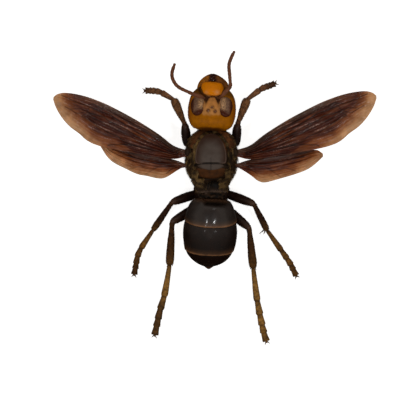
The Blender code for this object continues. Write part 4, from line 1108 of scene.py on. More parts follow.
def build_head_pieces(sizes, colours):
    """The head capsule, eyes, ocelli, face plate and jaws."""
    rings = []
    for y, half_width, back, face in HEAD_STATIONS:
        middle = (back + face) / 2
        rings.append(oval(Vector((0, y, middle)), RIGHT, UP, half_width, face - middle,
                          middle - back, 28, HEAD_SQUARENESS))
    head = drawn_out("head_shell", rings, 3)
    carve_head(head)
    # Waxy shell: a soft, broad sheen over faint pits, redder and darker at its seams, with painted shade
    # in its sunken sockets and grooves.
    shell = cuticle("waxy_orange_head_cuticle", colours.head,
                    (("cheek", colours.cheek, 0.9), ("malar", colours.malar, 0.85),
                     ("forehead", colours.forehead, 1.0), ("shield", colours.shield, 1.0),
                     ("dark", colours.seam, 0.95)),
                    gloss=0.08, pit_mm=0.3, pit_depth=0.01, mottle=0.24, mottle_mm=1.1)
    settle(head, shell, ["head"], HEAD_FRAME)
    # Thousands of tiny lenses: a broken, grainy shine. The facets are drawn coarser than in life,
    # which would be too fine to show.
    lens = cuticle("faceted_eye_cuticle", colours.eye,
                   (("inner", colours.eye_glint, 0.9), ("outer", colours.eye_rim, 0.95)),
                   roughness=0.3, gloss=0.12, coat=0.15, pit_mm=0.12, pit_depth=0.012, mottle=0.6,
                   mottle_mm=0.24, facets=True)
    for side, sign in SIDES:
        settle(eye(side, sign), lens, [f"eye_{side}"], HEAD_FRAME)
    beads = []
    for x, y in OCELLI:
        level = float(face_level(np.array([[x, y]]))[0])
        beads.append(egg("ocellus", (x, y, level - 0.06), [sizes.ocellus] * 3, 20, 12))
    # Smooth clear beads: a small, sharp highlight.
    dark_lens = cuticle("clear_ocellus_cuticle", colours.ocellus, roughness=0.15, gloss=0.6, coat=0.5,
                        pit_depth=0.0, wave_depth=0.0)
    settle(joined("ocelli", beads), dark_lens, (), HEAD_FRAME)
    # The smoothest shell of the face: brighter, with a clearer sheen, and a painted highlight of pale
    # glare at its foot.
    bright = cuticle("polished_face_plate_cuticle", colours.face,
                     (("edge", colours.face_edge, 0.8), ("worn", colours.face_glare, 0.7)),
                     roughness=0.36, gloss=0.08, coat=0.12, pit_mm=0.35, pit_depth=0.008, mottle=0.1)
    settle(clypeus(sizes.clypeus_rise), bright, ["clypeus"], HEAD_FRAME)
    # Thick, coarsely pitted horn: streaked and dull, dark where it bites.
    horn = cuticle("pitted_jaw_cuticle", colours.jaw,
                   (("dim", colours.jaw_dim, 0.8), ("tooth", colours.tooth, 0.95)),
                   roughness=0.36, gloss=0.15, pit_mm=0.26, pit_depth=0.05, mottle=0.55, mottle_mm=0.5)
    # Hardened cutting edges: near black with a wet gloss.
    enamel = cuticle("glossy_tooth_cuticle", colours.tooth, roughness=0.25, gloss=0.2, coat=0.4,
                     mottle=0.8, mottle_mm=0.4, pit_depth=0.0)
    for side, sign in SIDES:
        blade, teeth = jaw(side, -sign)
        settle(blade, horn, [f"mandible_{side}"], HEAD_FRAME)
        settle(teeth, enamel, (), HEAD_FRAME)


def build_feeler_pieces(sizes, colours):
    """Both antennae: a stout first joint, and a whip of short barrel joints."""
    # Dull shell under fine down: matt, with darker seams between the joints.
    horn = cuticle("downy_feeler_cuticle", colours.feeler, (("joint", colours.claw, 0.6),),
                   roughness=0.5, gloss=0.18, pit_mm=0.09, pit_depth=0.01, mottle=0.35, mottle_mm=0.6)
    for side in ("left", "right"):
        path = curve_through(SCAPES[side], 4)
        widths = [sizes.scape * share for share, _ in SCAPE_STATIONS]
        scape = drawn_out(f"feeler_base_{side}", limb_rings(path, widths, widths), 2,
                          {"joint": [dark for _, dark in SCAPE_STATIONS]})
        settle(scape, horn, [f"scape_{side}"])
        bends = curve_through(WHIPS[side], 8)
        path, widths, joints = [], [], []
        for index in range(WHIP_JOINTS):
            start, length = index / WHIP_JOINTS, 1 / WHIP_JOINTS
            girth = sizes.whip * float(np.interp(index, (0, 1, 3, 9, 10), (1.0, 0.9, 1.0, 0.98, 0.75)))
            for share, width, joint in WHIP_STATIONS:
                path.append(along(bends, start + share * length))
                widths.append(girth * width)
                joints.append(joint)
        widths[-1] = sizes.whip * 0.25
        whip = drawn_out(f"feeler_whip_{side}", limb_rings(path, widths, widths, 10), 1,
                         {"joint": joints})
        settle(whip, horn, [f"flagellum_{side}"])


# Thorax

def back_level(flat):
    """Height of the thorax's back at flat places."""
    stations = np.array(THORAX_STATIONS[::-1])
    half_width, widest, back = (np.interp(flat[:, 1], stations[:, 0], stations[:, column])
                                for column in (1, 3, 4))
    return widest + (back - widest) * arch(flat[:, 0] / half_width, THORAX_SQUARENESS)


def from_shield(x, y):
    """Distance of places from the shield's middle, which is 1 on the oval around it."""
    return np.hypot(x / SCUTUM_HALF_WIDTH, (y - SCUTUM_CENTRE_Y) / SCUTUM_HALF_LENGTH)


def waist_pit(x, y, spread):
    """How deep in the pit over the waist places are: 1 at its middle."""
    middle_x, middle_y = WAIST_PIT
    half_width, half_length = WAIST_PIT_SIZE
    return bump_at(np.hypot((x - middle_x) / half_width, (y - middle_y) / half_length), 0, spread)


def carve_thorax(thorax):
    """Sink the seams, wing hollows and the pit over the waist, and mark the regions."""
    points = points_of(thorax)
    x, y, z = points.T
    top = smoothstep(11.6, 13.4, z)
    at_side = smoothstep(4.0, 5.0, np.abs(x))
    past_edge = (from_shield(x, y) - 1) * SCUTUM_HALF_WIDTH
    around = bump_at(past_edge, 0.15, 0.22) * smoothstep(7.0, 7.8, y) * top
    behind = (bump_at(y, 7.5, 0.14) + bump_at(y, 4.35, 0.2)) * smoothstep(4.4, 3.6, np.abs(x)) * top
    collar = bump_at(y + 0.25 * (z - 11), 12.0, 0.16) * smoothstep(3.6, 4.2, np.abs(x))
    flank = bump_at(y - 0.35 * (z - 9), 9.3, 0.16) + bump_at(y, 4.5, 0.16)
    flank *= smoothstep(3.0, 4.2, np.abs(x))
    fore_hollow = bump_at(np.hypot(y - 9.9, z - 13.2), 0, 0.9) * at_side
    hind_hollow = bump_at(np.hypot(y - 7.3, z - 12.3), 0, 0.8) * at_side
    pit = waist_pit(x, y, 0.9) * smoothstep(9.5, 10.6, z)
    rim = bump_at(y, WAIST_RIM_Y, 0.22) * smoothstep(9.3, 10.4, z)
    rough = 0.09 * wander(points, 0.9) + 0.05 * wander(points, 0.4, 7.0)
    lift = (-0.35 * around - 0.3 * behind - 0.2 * collar - 0.2 * flank - 0.3 * fore_hollow
            - 0.25 * hind_hollow - 1.1 * pit + 0.14 * rim + rough)
    push_out(thorax, lift)
    # Painted shade: the hollow mark darkens the sunken seams, the wing hollows and the pit over the
    # waist. Painted highlight: the rim mark lightens the ridge behind the pit.
    mark(thorax, "hollow", np.clip(around + behind + collar * 0.6 + flank * 0.5 + fore_hollow * 0.9
                                   + hind_hollow * 0.8 + pit * 1.4, 0, 1))
    mark(thorax, "rim", rim)
    mark(thorax, "collar", smoothstep(11.0, 12.4, y + 0.25 * (z - 11)) * smoothstep(8.5, 10.5, z)
         * (0.75 + 0.6 * wander(points, 1.2, 6.0)))


def scutum(rise):
    """The shield on the back: an oval plate cut straight behind, with a beaded side rim."""
    profile = ((1.0, -0.7), (1.0, -0.05), (0.985, rise * 0.8), (0.965, rise * 1.25), (0.94, rise * 1.2),
               (0.92, rise * 0.6), (0.89, rise * 0.8), (0.8, rise), (0.62, rise), (0.42, rise),
               (0.2, rise))
    piece = plate("back_shield", closed_outline(SCUTUM_OUTLINE, 4), profile, back_level)
    points = points_of(piece)
    x, y, z = points.T
    top = smoothstep(12.0, 13.0, z)
    line = bump_at(x, -0.15, 0.09) * smoothstep(9.6, 8.6, y)
    dip = bump_at(y, 7.95, 0.16) * smoothstep(2.2, 1.6, np.abs(x + 0.15))
    points[:, 2] += (-0.07 * line - 0.16 * dip + 0.02 * wander(points, 1.6)) * top
    move_points(piece, points)
    spread_out = np.hypot((x + 0.15) / 3.5, (y - 9.3) / 5.2) + 0.07 * wander(points, 1.4)
    # Painted shade: darker towards the front and sides, around a lighter middle.
    mark(piece, "edge", smoothstep(0.45, 0.95, spread_out))
    # A painted highlight along the raised side rim.
    mark(piece, "bead", bump_at(points_rim(piece), 0.955, 0.018) * smoothstep(13.5, 11.5, y) * top
         * smoothstep(2.2, 2.8, np.abs(x + 0.15)))
    # Painted shade in the middle line and in the dip before the rear edge.
    mark(piece, "line", np.clip(line * 0.6 + dip * 1.1, 0, 1) * top)
    return piece


def build_thorax_pieces(sizes, colours):
    """The thorax skin, the plates of its back, the wing scales, the neck and the waist."""
    rings = [oval(Vector((0, y, widest)), RIGHT, UP, half_width, back - widest, widest - belly,
                  28, THORAX_SQUARENESS)
             for y, half_width, belly, widest, back in THORAX_STATIONS]
    thorax = drawn_out("thorax_skin", rings, 3)
    carve_thorax(thorax)
    # Rough, pitted shell under the coat: dark and nearly without shine, with painted shade in its
    # hollows and a painted highlight on the ridge over the waist.
    skin = cuticle("hairy_black_thorax_cuticle", colours.thorax,
                   (("collar", colours.collar, 0.9), ("rim", colours.scutum_bead_highlight, 0.7),
                    ("hollow", colours.hollow, 0.95)),
                   roughness=0.55, gloss=0.15, pit_mm=0.22, pit_depth=0.03, mottle=0.6, mottle_mm=1.0)
    settle(thorax, skin, ["pronotum", "mesothorax", "propodeum"])
    # Smoother plates: a soft, broad shine, with painted shade on the front and sides and in the grooves,
    # and a painted highlight along the shield's side rim.
    satin = cuticle("satin_shield_cuticle", colours.scutum,
                    (("edge", colours.scutum_shaded_edge, 0.9), ("line", colours.hollow, 0.9),
                     ("bead", colours.scutum_bead_highlight, 0.8)),
                    roughness=0.42, gloss=0.25, pit_mm=0.14, pit_depth=0.006, mottle=0.16, mottle_mm=1.0)
    settle(scutum(sizes.scutum_rise), satin, ["mesoscutum"])
    profile = ((1.0, -0.6), (1.0, -0.05), (0.95, 0.2), (0.82, 0.28), (0.6, 0.3), (0.3, 0.3))
    band = plate("scutellum_plate", closed_outline(SCUTELLUM_OUTLINE, 5), profile, back_level)
    points = points_of(band)
    # A dark middle line, and the sides darker as painted shade.
    mark(band, "line", bump_at(points[:, 0], -0.15, 0.12) * 0.8)
    mark(band, "edge", smoothstep(1.8, 3.2, np.abs(points[:, 0] + 0.15)) * 0.6)
    settle(band, satin, ["scutellum"])
    # Rough, blotched plate: red-brown with hardly any shine.
    russet = cuticle("russet_plate_cuticle", colours.metanotum, (("edge", colours.hollow, 0.6),),
                     roughness=0.5, gloss=0.18, pit_mm=0.2, pit_depth=0.012, mottle=0.5, mottle_mm=0.9)
    profile = ((1.0, -0.6), (1.0, -0.1), (0.94, 0.08), (0.8, 0.16), (0.55, 0.18), (0.25, 0.18))
    band = plate("metanotum_plate", closed_outline(METANOTUM_OUTLINE, 4), profile, back_level)
    # Painted shade along the plate's rim, where it meets the thorax.
    mark(band, "edge", smoothstep(0.8, 1.0, points_rim(band)))
    settle(band, russet, ["metanotum"])
    scale_x, scale_y, scale_z = WING_SCALE_CENTRE
    for side, sign in SIDES:
        scale = egg(f"wing_scale_{side}", (0, 0, 0), WING_SCALE_SIZE, 32, 20)
        points = points_of(scale)
        points[:, 2] += -0.12 * points[:, 0] ** 2 - 0.1 * points[:, 1] ** 2
        move_points(scale, points + np.array((sign * scale_x, scale_y, scale_z)))
        settle(scale, skin, [f"tegula_{side}"])
    for name, (path, half_widths, half_heights) in TUBES.items():
        path = [Vector(point) for point in path]
        tube = drawn_out(f"{name}_tube", limb_rings(path, half_widths, half_heights, 16), 3)
        lumps = wander(points_of(tube), 0.7)
        push_out(tube, 0.22 * lumps)
        # Painted shade in the dips between the lumps, and a painted highlight on their tops.
        mark(tube, "hollow", smoothstep(0.1, -0.3, lumps))
        mark(tube, "rim", 0.5 * smoothstep(0.15, 0.5, lumps))
        settle(tube, skin, [name])


# Gaster

def gaster_rings(stations):
    """Sections of one part of the gaster, with their backs leaning to the rear."""
    rings = []
    for y, z, half_width, half_height, degrees in stations:
        lean = math.radians(degrees)
        up = Vector((0, -math.sin(lean), math.cos(lean)))
        rings.append(oval(Vector((0, y, z)), RIGHT, up, half_width, half_height, half_height, 32,
                          GASTER_SQUARENESS))
    return rings


def build_gaster_pieces(colours):
    """The four sections of the gaster that show, each tucked into the one before it."""
    # Thick, waxed shell: wide reflections that waver over slow swellings.
    gloss = cuticle("glossy_gaster_cuticle", colours.gaster,
                    (("dusk", colours.gaster_dusk, 1.0), ("band", colours.band, 0.9),
                     ("dark", colours.hollow, 1.0)),
                    gloss=0.22, coat=0.35, pit_mm=0.3, pit_depth=0.004, mottle=0.3, mottle_mm=1.6,
                    wave_depth=0.014)
    # The same shell with its wax worn: a satin sheen in blotches.
    satin = cuticle("satin_middle_gaster_cuticle", colours.gaster,
                    (("dusk", colours.gaster_dusk, 1.0), ("band", colours.band, 0.9)),
                    roughness=0.5, gloss=0.2, coat=0.04, mottle=0.5, mottle_mm=1.8, wave_depth=0.02)
    # Redder and duller towards the tip.
    dim = cuticle("satin_rear_gaster_cuticle", colours.gaster_dusk, (("band", colours.band, 0.9),),
                  roughness=0.5, gloss=0.07, mottle=0.3, mottle_mm=1.6)
    # Thin horn at the sting: plain red-brown.
    tip = cuticle("russet_tip_cuticle", colours.tip, roughness=0.45, gloss=0.2, mottle=0.2)
    shells = {"gaster_1": gloss, "gaster_2": satin, "gaster_3": dim, "gaster_tip": tip}
    hollow_x, hollow_y = GASTER_HOLLOW
    for name, stations in GASTER_RINGS.items():
        bands = [0.0] * len(stations)
        if name in ("gaster_1", "gaster_2"):
            bands[-4:] = [0.2, 0.8, 1.0, 1.0]
        if name == "gaster_1":
            bands[:2] = [0.45, 0.3]
        piece = drawn_out(f"{name}_shell", gaster_rings(stations), 2, {"band": bands})
        points = points_of(piece)
        x, y, z = points.T
        hollow = (bump_at(y, hollow_y, GASTER_HOLLOW_LENGTH)
                  * smoothstep(3.4, 1.5, np.abs(x - hollow_x)) * smoothstep(11.5, 13.2, z))
        hollow = np.clip(1.3 * hollow * (1 + 0.5 * wander(points, 1.1)), 0, 1)
        dents = 0.05 * wander(points, 2.2, 3.0) + 0.012 * wander(points, 0.6, 5.0)
        push_out(piece, dents - GASTER_HOLLOW_DEPTH * hollow)
        mark(piece, "dusk", np.clip(smoothstep(-5.5, -11.0, y + 0.1 * wander(points, 2.0))
                                    + 0.5 * smoothstep(4.0, 5.6, np.abs(x)), 0, 1))
        # Painted shade in the hollow at the front.
        mark(piece, "dark", hollow)
        settle(piece, shells[name], [name], GASTER_FRAME)


# Legs

def foot_rings(joints, girth, darkens):
    """Path, half widths and dark marks of a foot: five cones, each flared at its far end."""
    bends = curve_through(joints, 6)
    path, widths, seams = [bends[0]], [girth * 0.62], [0.6]
    begin = 0.0
    for finish in FOOT_JOINT_ENDS:
        length = finish - begin
        for share, width, seam in FOOT_STATIONS:
            reached = begin + length * share
            slimmer = float(np.interp(reached, (0.0, 0.1, 0.7), (0.72, 0.84, 1.0)))
            path.append(along(bends, reached))
            widths.append(girth * width * slimmer)
            seams.append(max(seam, float(np.interp(reached, darkens, (0.0, 0.9)))))
        begin = finish
    widths[-1] = girth * 0.6
    return path, widths, seams


def limb(name, start, end, near, far, stations, flatness, mark_names):
    """A straight part of a leg between two joints. Flatness is its height over its width, and
    the names are those of its stations' marks."""
    path = [start.lerp(end, station[0]) for station in stations]
    widths = [near * station[1] + far * station[2] for station in stations]
    heights = [width * flatness for width in widths]
    marks = {mark_name: [station[column] for station in stations]
             for column, mark_name in enumerate(mark_names, 3)}
    return drawn_out(name, limb_rings(path, widths, heights, 14), 2, marks)


def shin_with_spurs(name, knee, ankle, narrow, wide):
    """A shin and its spurs, in one piece."""
    pieces = [limb("shin", knee, ankle, narrow, wide, SHIN_STATIONS, 0.85, ("dark", "golden"))]
    forward = (ankle - knee).normalized()
    inward = -1 if ankle.x > 0 else 1
    for length, turn in SPURS[name if name in SPURS else name.split("_")[0]]:
        direction = Matrix.Rotation(math.radians(turn) * inward, 3, "Z") @ forward
        spur = thorn("spur", knee.lerp(ankle, 0.93), direction, length, 0.2, 0.1)
        mark(spur, "dark", 0.7)
        pieces.append(spur)
    return joined(f"{name}_tibia_shell", pieces)


def foot_with_claws(name, joints, girth):
    """A five-jointed foot with its pad and two claws, in one piece that ends at the floor."""
    path, widths, seams = foot_rings(joints, girth, FOOT_DARKENS[name])
    heights = [width * 0.85 for width in widths]
    foot = drawn_out("foot", limb_rings(path, widths, heights), 1, {"dark": seams})
    toe = path[-1]
    forward = toe - path[-4]
    forward.z = 0
    forward.normalize()
    pad = egg("pad", toe + forward * 0.1, (0.3, 0.3, 0.18), 16, 10)
    mark(pad, "dark", 0.6)
    pieces = [foot, pad]
    for turn in (-CLAW_SPREAD, CLAW_SPREAD):
        direction = Matrix.Rotation(math.radians(turn), 3, "Z") @ forward
        claw = thorn("claw", toe - forward * 0.15, direction, CLAW_LENGTH, 0.19, 0.12)
        mark(claw, "dark", 1.0)
        pieces.append(claw)
    foot = joined(f"{name}_tarsus_shell", pieces)
    points = points_of(foot)
    points[:, 2] = np.maximum(points[:, 2], 0.0)
    move_points(foot, points)
    return foot


def build_leg(name, joints, half_widths, materials):
    """One leg: hip joint, thigh, shin and foot."""
    pair = name.split("_")[0]
    hip, trochanter, knee, ankle = (Vector(point) for point in joints[:4])
    hip_width, thigh_width, knee_width, shin_narrow, shin_wide, foot_width = half_widths
    coxa = limb(f"{name}_coxa_shell", hip, trochanter, hip_width, 0.0, HIP_STATIONS, 1.0, ("knee",))
    settle(coxa, materials["thigh"], [f"{name}_coxa"])
    thigh = limb(f"{name}_femur_shell", trochanter, knee, thigh_width, knee_width, THIGH_STATIONS,
                 1.05, ("knee",))
    settle(thigh, materials["thigh"], [f"{name}_femur"])
    shin = shin_with_spurs(name, knee, ankle, shin_narrow, shin_wide)
    settle(shin, materials[f"{pair}_shin"], [f"{name}_tibia"])
    foot = foot_with_claws(name, [ankle, *joints[4:]], foot_width)
    settle(foot, materials[f"{pair}_foot"], [f"{name}_tarsus"])


def build_leg_pieces(colours):
    """All six legs, each pair in its own shades."""
    # Smooth, hard thighs: a narrow shine along each, lighter at the joints.
    thigh = cuticle("smooth_thigh_cuticle", colours.thigh, (("knee", colours.knee, 0.8),),
                    roughness=0.38, gloss=0.3, pit_mm=0.18, pit_depth=0.01, mottle=0.35, mottle_mm=0.9)
    materials = {"thigh": thigh}
    shades = {"fore_shin": colours.fore_shin, "fore_foot": colours.fore_foot,
              "mid_shin": colours.mid_shin, "mid_foot": colours.mid_foot,
              "hind_shin": colours.hind_shin, "hind_foot": colours.hind_foot}
    # Shins and feet under short down: a soft, blotched sheen, darker at the ends.
    for name, shade in shades.items():
        golden_share = 0.0 if name.startswith("fore") else 0.8
        materials[name] = cuticle(f"downy_{name}_cuticle", shade,
                                  (("golden", colours.shin_end, golden_share),
                                   ("dark", colours.foot_end, 0.8)),
                                  roughness=0.5, gloss=0.15, pit_mm=0.12, pit_depth=0.014,
                                  mottle=0.7, mottle_mm=0.7)
    for name, joints in LEG_JOINTS.items():
        build_leg(name, joints, LEG_HALF_WIDTHS[name.split("_")[0]], materials)


# Wings

def wing_marks(kind, flat, front_edge, rear_edge, border_scale):
    """How clear and how near the leading edge each place of a wing is."""
    if kind == "forewing":
        from_rear, _ = distance_to_path(flat, rear_edge)
        depth = np.interp(flat[:, 0], FOREWING_BORDER_X, FOREWING_BORDER_DEPTH) * border_scale
        ceiling = np.interp(flat[:, 0], BORDER_CLEARS, (0.25, 1.0))
        border = np.minimum(np.clip(1 - from_rear / depth, 0, 1), ceiling)
    else:
        from_line, side = distance_to_path(flat, flat_curve(HINDWING_BORDER, 4))
        depth = (border_scale - 1) * HINDWING_BORDER_DEPTH - side * from_line
        border = np.clip(depth / HINDWING_BORDER_DEPTH, 0, 1)
    from_front, _ = distance_to_path(flat, front_edge)
    # The grey-brown along the leading edge is partly its own colour and partly a painted reflection.
    front = smoothstep(1.5, 0.4, from_front) * smoothstep(29.0, 20.0, flat[:, 0])
    return border, front * (1.0 if kind == "forewing" else 0.5)


def wing(name, thickness, pleat):
    """One wing: a fine grid drawn between its two edges, folded along its length, with raised
    veins, and given the membrane's thickness."""
    root, turn, length, border_scale = WINGS[name]
    kind = name.split("_")[0]
    folds, columns, rows = WING_FOLDS[kind]
    front, rear = WING_EDGES[name if name in WING_EDGES else kind]
    front_edge, rear_edge = flat_curve(front, 6), flat_curve(rear, 6)
    deselect_all()
    bpy.ops.mesh.primitive_grid_add(x_subdivisions=columns, y_subdivisions=rows, size=2.0,
                                    calc_uvs=False)
    piece = named(f"{name}_film")
    cage = points_of(piece)
    out, back = (cage[:, 0] + 1) / 2, (1 - cage[:, 1]) / 2
    near, far = places_along(front_edge, out), places_along(rear_edge, out)
    flat = (near + (far - near) * back[:, None])[:, :2]
    border, front_share = wing_marks(kind, flat, front_edge, rear_edge, border_scale)
    vein_share = np.zeros(len(flat))
    ridge = np.zeros(len(flat))
    for half_width, height, bends in VEINS[kind]:
        distance, _ = distance_to_path(flat, flat_curve(bends, 4))
        line = bump_at(distance, 0, half_width)
        ridge = np.maximum(ridge, line * height)
        vein_share = np.maximum(vein_share, line * (0.55 + half_width * 2))
    from_front, _ = distance_to_path(flat, front_edge)
    ridge = np.maximum(ridge, 0.14 * bump_at(from_front, 0.1, 0.28))
    chord = np.linalg.norm(far - near, axis=1)
    level = np.column_stack((flat, np.zeros(len(flat)))) * (0.35, 1.0, 1.0)
    phase = folds * back + 0.35 * wander(level, 3.0, 6.0)
    spread_out = smoothstep(0, 3, flat[:, 0]) * smoothstep(31, 21, flat[:, 0])
    fold = np.sin(2 * math.pi * phase) * spread_out
    crest = (1 - np.abs(np.sin(math.pi * phase * 1.2))) ** 3 * spread_out
    crest *= smoothstep(-0.2, 0.2, wander(level, 2.0, 12.0))
    crumple = 0.12 * wander(level, 1.1, 2.0) + 0.06 * wander(level, 0.45, 9.0)
    camber = 0.07 * chord * np.sin(math.pi * back)
    height = (WING_LIFT + math.tan(math.radians(WING_RISE)) * flat[:, 0] + camber
              + pleat * (fold + crest) + crumple + ridge)
    mirror = -1 if name.endswith("left") else 1
    points = np.column_stack((flat[:, 0] * mirror * length, flat[:, 1] * length, height))
    spin = np.array(Matrix.Rotation(math.radians(turn), 3, "Z"))
    move_points(piece, points @ spin.T + np.array(root))
    mark(piece, "border", border)
    mark(piece, "vein", np.minimum(vein_share, 1) * (1 - 0.55 * border) * (1 - 0.7 * front_share))
    mark(piece, "front", front_share)
    # The crest mark is where a painted highlight lies on the folds.
    mark(piece, "crest", 0.9 * crest * (1 - border) * smoothstep(6.0, 12.0, flat[:, 0])
         * (1.0 if kind == "forewing" else 0.5))
    mark(piece, "outward", flat[:, 0])
    mark(piece, "share", back)
    if mirror < 0:
        edit_all(piece)
        bpy.ops.mesh.flip_normals()
        bpy.ops.object.mode_set(mode="OBJECT")
    apply_modifier(piece, "SOLIDIFY", thickness=thickness, offset=0.0)
    return piece


def build_wing_pieces(sizes, colours):
    """The four wings."""
    film = membrane("smoky_amber_wing_membrane", colours)
    for name in WINGS:
        settle(wing(name, sizes.membrane, sizes.pleat), film, [name])


# Hair

def fans(mesh, points):
    """A mesh as triangles around the middle of each face, sorted by place. Blender numbers the
    faces anew in each run, and sorted they give the same hair each time."""
    corner_of = np.empty(len(mesh.loops), dtype=np.int32)
    mesh.loops.foreach_get("vertex_index", corner_of)
    starts, totals = np.empty((2, len(mesh.polygons)), dtype=np.int32)
    mesh.polygons.foreach_get("loop_start", starts)
    mesh.polygons.foreach_get("loop_total", totals)
    corners = points[corner_of]
    following = np.arange(len(corners)) + 1
    following[starts + totals - 1] = starts
    middles = np.add.reduceat(corners, starts) / totals[:, None]
    triangles = np.stack((np.repeat(middles, totals, axis=0), corners, corners[following]), axis=1)
    return triangles[np.lexsort(triangles.mean(axis=1).round(3).T)]


def scatter(skin, own_frame, wanted, thickly, seed):
    """Roots over a skin: their places and outward directions. Thickly gives the share of roots
    kept at each place."""
    chance = np.random.default_rng(seed)
    to_own = np.array((TO_MODEL @ own_frame).inverted())
    triangles = fans(skin.data, points_of(skin) @ to_own[:3, :3].T + to_own[:3, 3])
    square = np.cross(triangles[:, 1] - triangles[:, 0], triangles[:, 2] - triangles[:, 0])
    area = np.linalg.norm(square, axis=1)
    chosen = chance.choice(len(area), wanted, p=area / area.sum())
    a, b = chance.random((2, wanted, 1))
    over = a + b > 1
    a, b = np.where(over, 1 - a, a), np.where(over, 1 - b, b)
    first, second, third = triangles[chosen].transpose(1, 0, 2)
    roots = first + a * (second - first) + b * (third - first)
    outward = square[chosen] / area[chosen, None]
    kept = chance.random(wanted) < thickly(roots, outward)
    return roots[kept], outward[kept]


def unwrapped(roots, start, end):
    """Places on a skin unwrapped around the axis from start to end, in the unit square."""
    start, end = np.array(start, float), np.array(end, float)
    axis = end - start
    share = (roots - start) @ axis / (axis @ axis)
    sideways = np.cross(axis, (0.0, 0.0, 1.0))
    sideways /= np.linalg.norm(sideways)
    upward = np.cross(sideways, axis / np.linalg.norm(axis))
    away = roots - start - share[:, None] * axis
    angle = np.arctan2(away @ sideways, -(away @ upward)) / (2 * math.pi)
    return np.column_stack((angle % 1.0, np.clip(share, 0, 1))) * 0.99 + 0.005


def coat(name, roots, outward, comb, lengths, half_width, lie, places, seed):
    """Hair in one mesh: bent, three-sided cones that leave the skin and lie along the comb
    direction by a share, each with its own shade and its own patch of the unwrapped skin."""
    chance = np.random.default_rng(seed)
    count = len(roots)
    matted = np.column_stack([wander(roots, 0.9, seed + axis) for axis in range(3)])
    comb = comb + 1.1 * matted + chance.normal(0, 0.25, (count, 3))
    comb -= outward * np.sum(comb * outward, axis=1)[:, None]
    comb = unit(comb, NEARLY_ZERO)
    rise = unit(outward * (1 - lie) + comb * lie)
    fall = unit(rise + 0.6 * comb)
    lengths = lengths * chance.uniform(0.65, 1.15, count)
    across = unit(np.cross(rise, comb + outward * 0.2), NEARLY_ZERO)
    beside = np.cross(rise, across)
    start = roots - outward * HAIR_SINKS
    middle = start + rise * (0.5 * lengths)[:, None]
    tips = middle + fall * (0.5 * lengths)[:, None]
    rings = []
    for centre, width in ((start, half_width), (middle, half_width * 0.7)):
        for turn in (0, 2 * math.pi / 3, 4 * math.pi / 3):
            rings.append(centre + across * width * math.cos(turn) + beside * width * math.sin(turn))
    points = np.stack((*rings, tips), axis=1).reshape(-1, 3)
    corners = (np.array(HAIR_FACES) + HAIR_POINTS * np.arange(count)[:, None, None]).reshape(-1)
    mesh = bpy.data.meshes.new(name)
    mesh.vertices.add(len(points))
    mesh.vertices.foreach_set("co", points.ravel())
    mesh.loops.add(len(corners))
    mesh.loops.foreach_set("vertex_index", corners.astype(np.int32))
    mesh.polygons.add(len(corners) // 3)
    mesh.polygons.foreach_set("loop_start", np.arange(0, len(corners), 3, dtype=np.int32))
    mesh.update(calc_edges=True)
    spots = (places[:, None] + np.array(HAIR_PATCH) * PATCH_HALF).reshape(-1, 2)
    layer = mesh.uv_layers.new(name="OFBake")
    layer.data.foreach_set("uv", spots[corners].astype(np.float32).ravel())
    piece = add_object(name, mesh)
    clumps = np.clip(0.4 + 1.5 * wander(roots, 1.1, 5.0) + chance.normal(0, 0.18, count), 0, 1)
    shade = np.repeat(clumps, HAIR_POINTS)
    shade[HAIR_POINTS - 1::HAIR_POINTS] = np.minimum(1, clumps + 0.25)
    mark(piece, "shade", shade)
    return piece


def thorax_hair(sizes, material):
    """The coat of collar, sides and rear of the thorax, thin over the hollows."""
    def thickly(roots, outward):
        x, y, z = roots.T
        shield = smoothstep(12.6, 13.6, z) * smoothstep(1.05, 0.95, from_shield(x, y))
        plates = smoothstep(4.2, 4.8, y) * smoothstep(3.6, 3.2, np.abs(x)) * (z > 12)
        bare_top = np.maximum(shield, plates)
        pit = 1.3 * waist_pit(x, y, 0.95) * (z > 9.2)
        rim = bump_at(y, WAIST_RIM_Y, 0.18)
        gaps = 0.75 * smoothstep(-0.05, -0.35, wander(roots, 1.0, 9.0))
        shoulder = 0.75 * smoothstep(11.6, 13.2, y) * smoothstep(9.0, 11.0, z)
        worn = 0.8 * smoothstep(4.0, 5.2, x) * bump_at(y, 8.0, 2.5)
        return np.clip(1 - bare_top - pit - 0.8 * rim - gaps - shoulder - worn, 0, 1)

    skin = bpy.data.objects["thorax_skin"]
    halves = (("thorax_front_hair", 30.0, 10.5), ("thorax_rear_hair", 10.5, -9.0))
    for index, (name, front, rear) in enumerate(halves):
        roots, outward = scatter(skin, Matrix(), 15000, thickly, RANDOM_SEED + index)
        kept = (roots[:, 1] < front) & (roots[:, 1] >= rear)
        roots, outward = roots[kept], outward[kept]
        comb = BACKWARD + outward * (0.3, 0, 0)
        lengths = sizes.thorax_hair * (0.55 + 0.5 * smoothstep(3.0, 5.0, np.abs(roots[:, 0])))
        piece = coat(name, roots, outward, comb, lengths, sizes.hair_width, 0.62,
                     unwrapped(roots, *THORAX_AXIS), RANDOM_SEED + index)
        settle(piece, material)


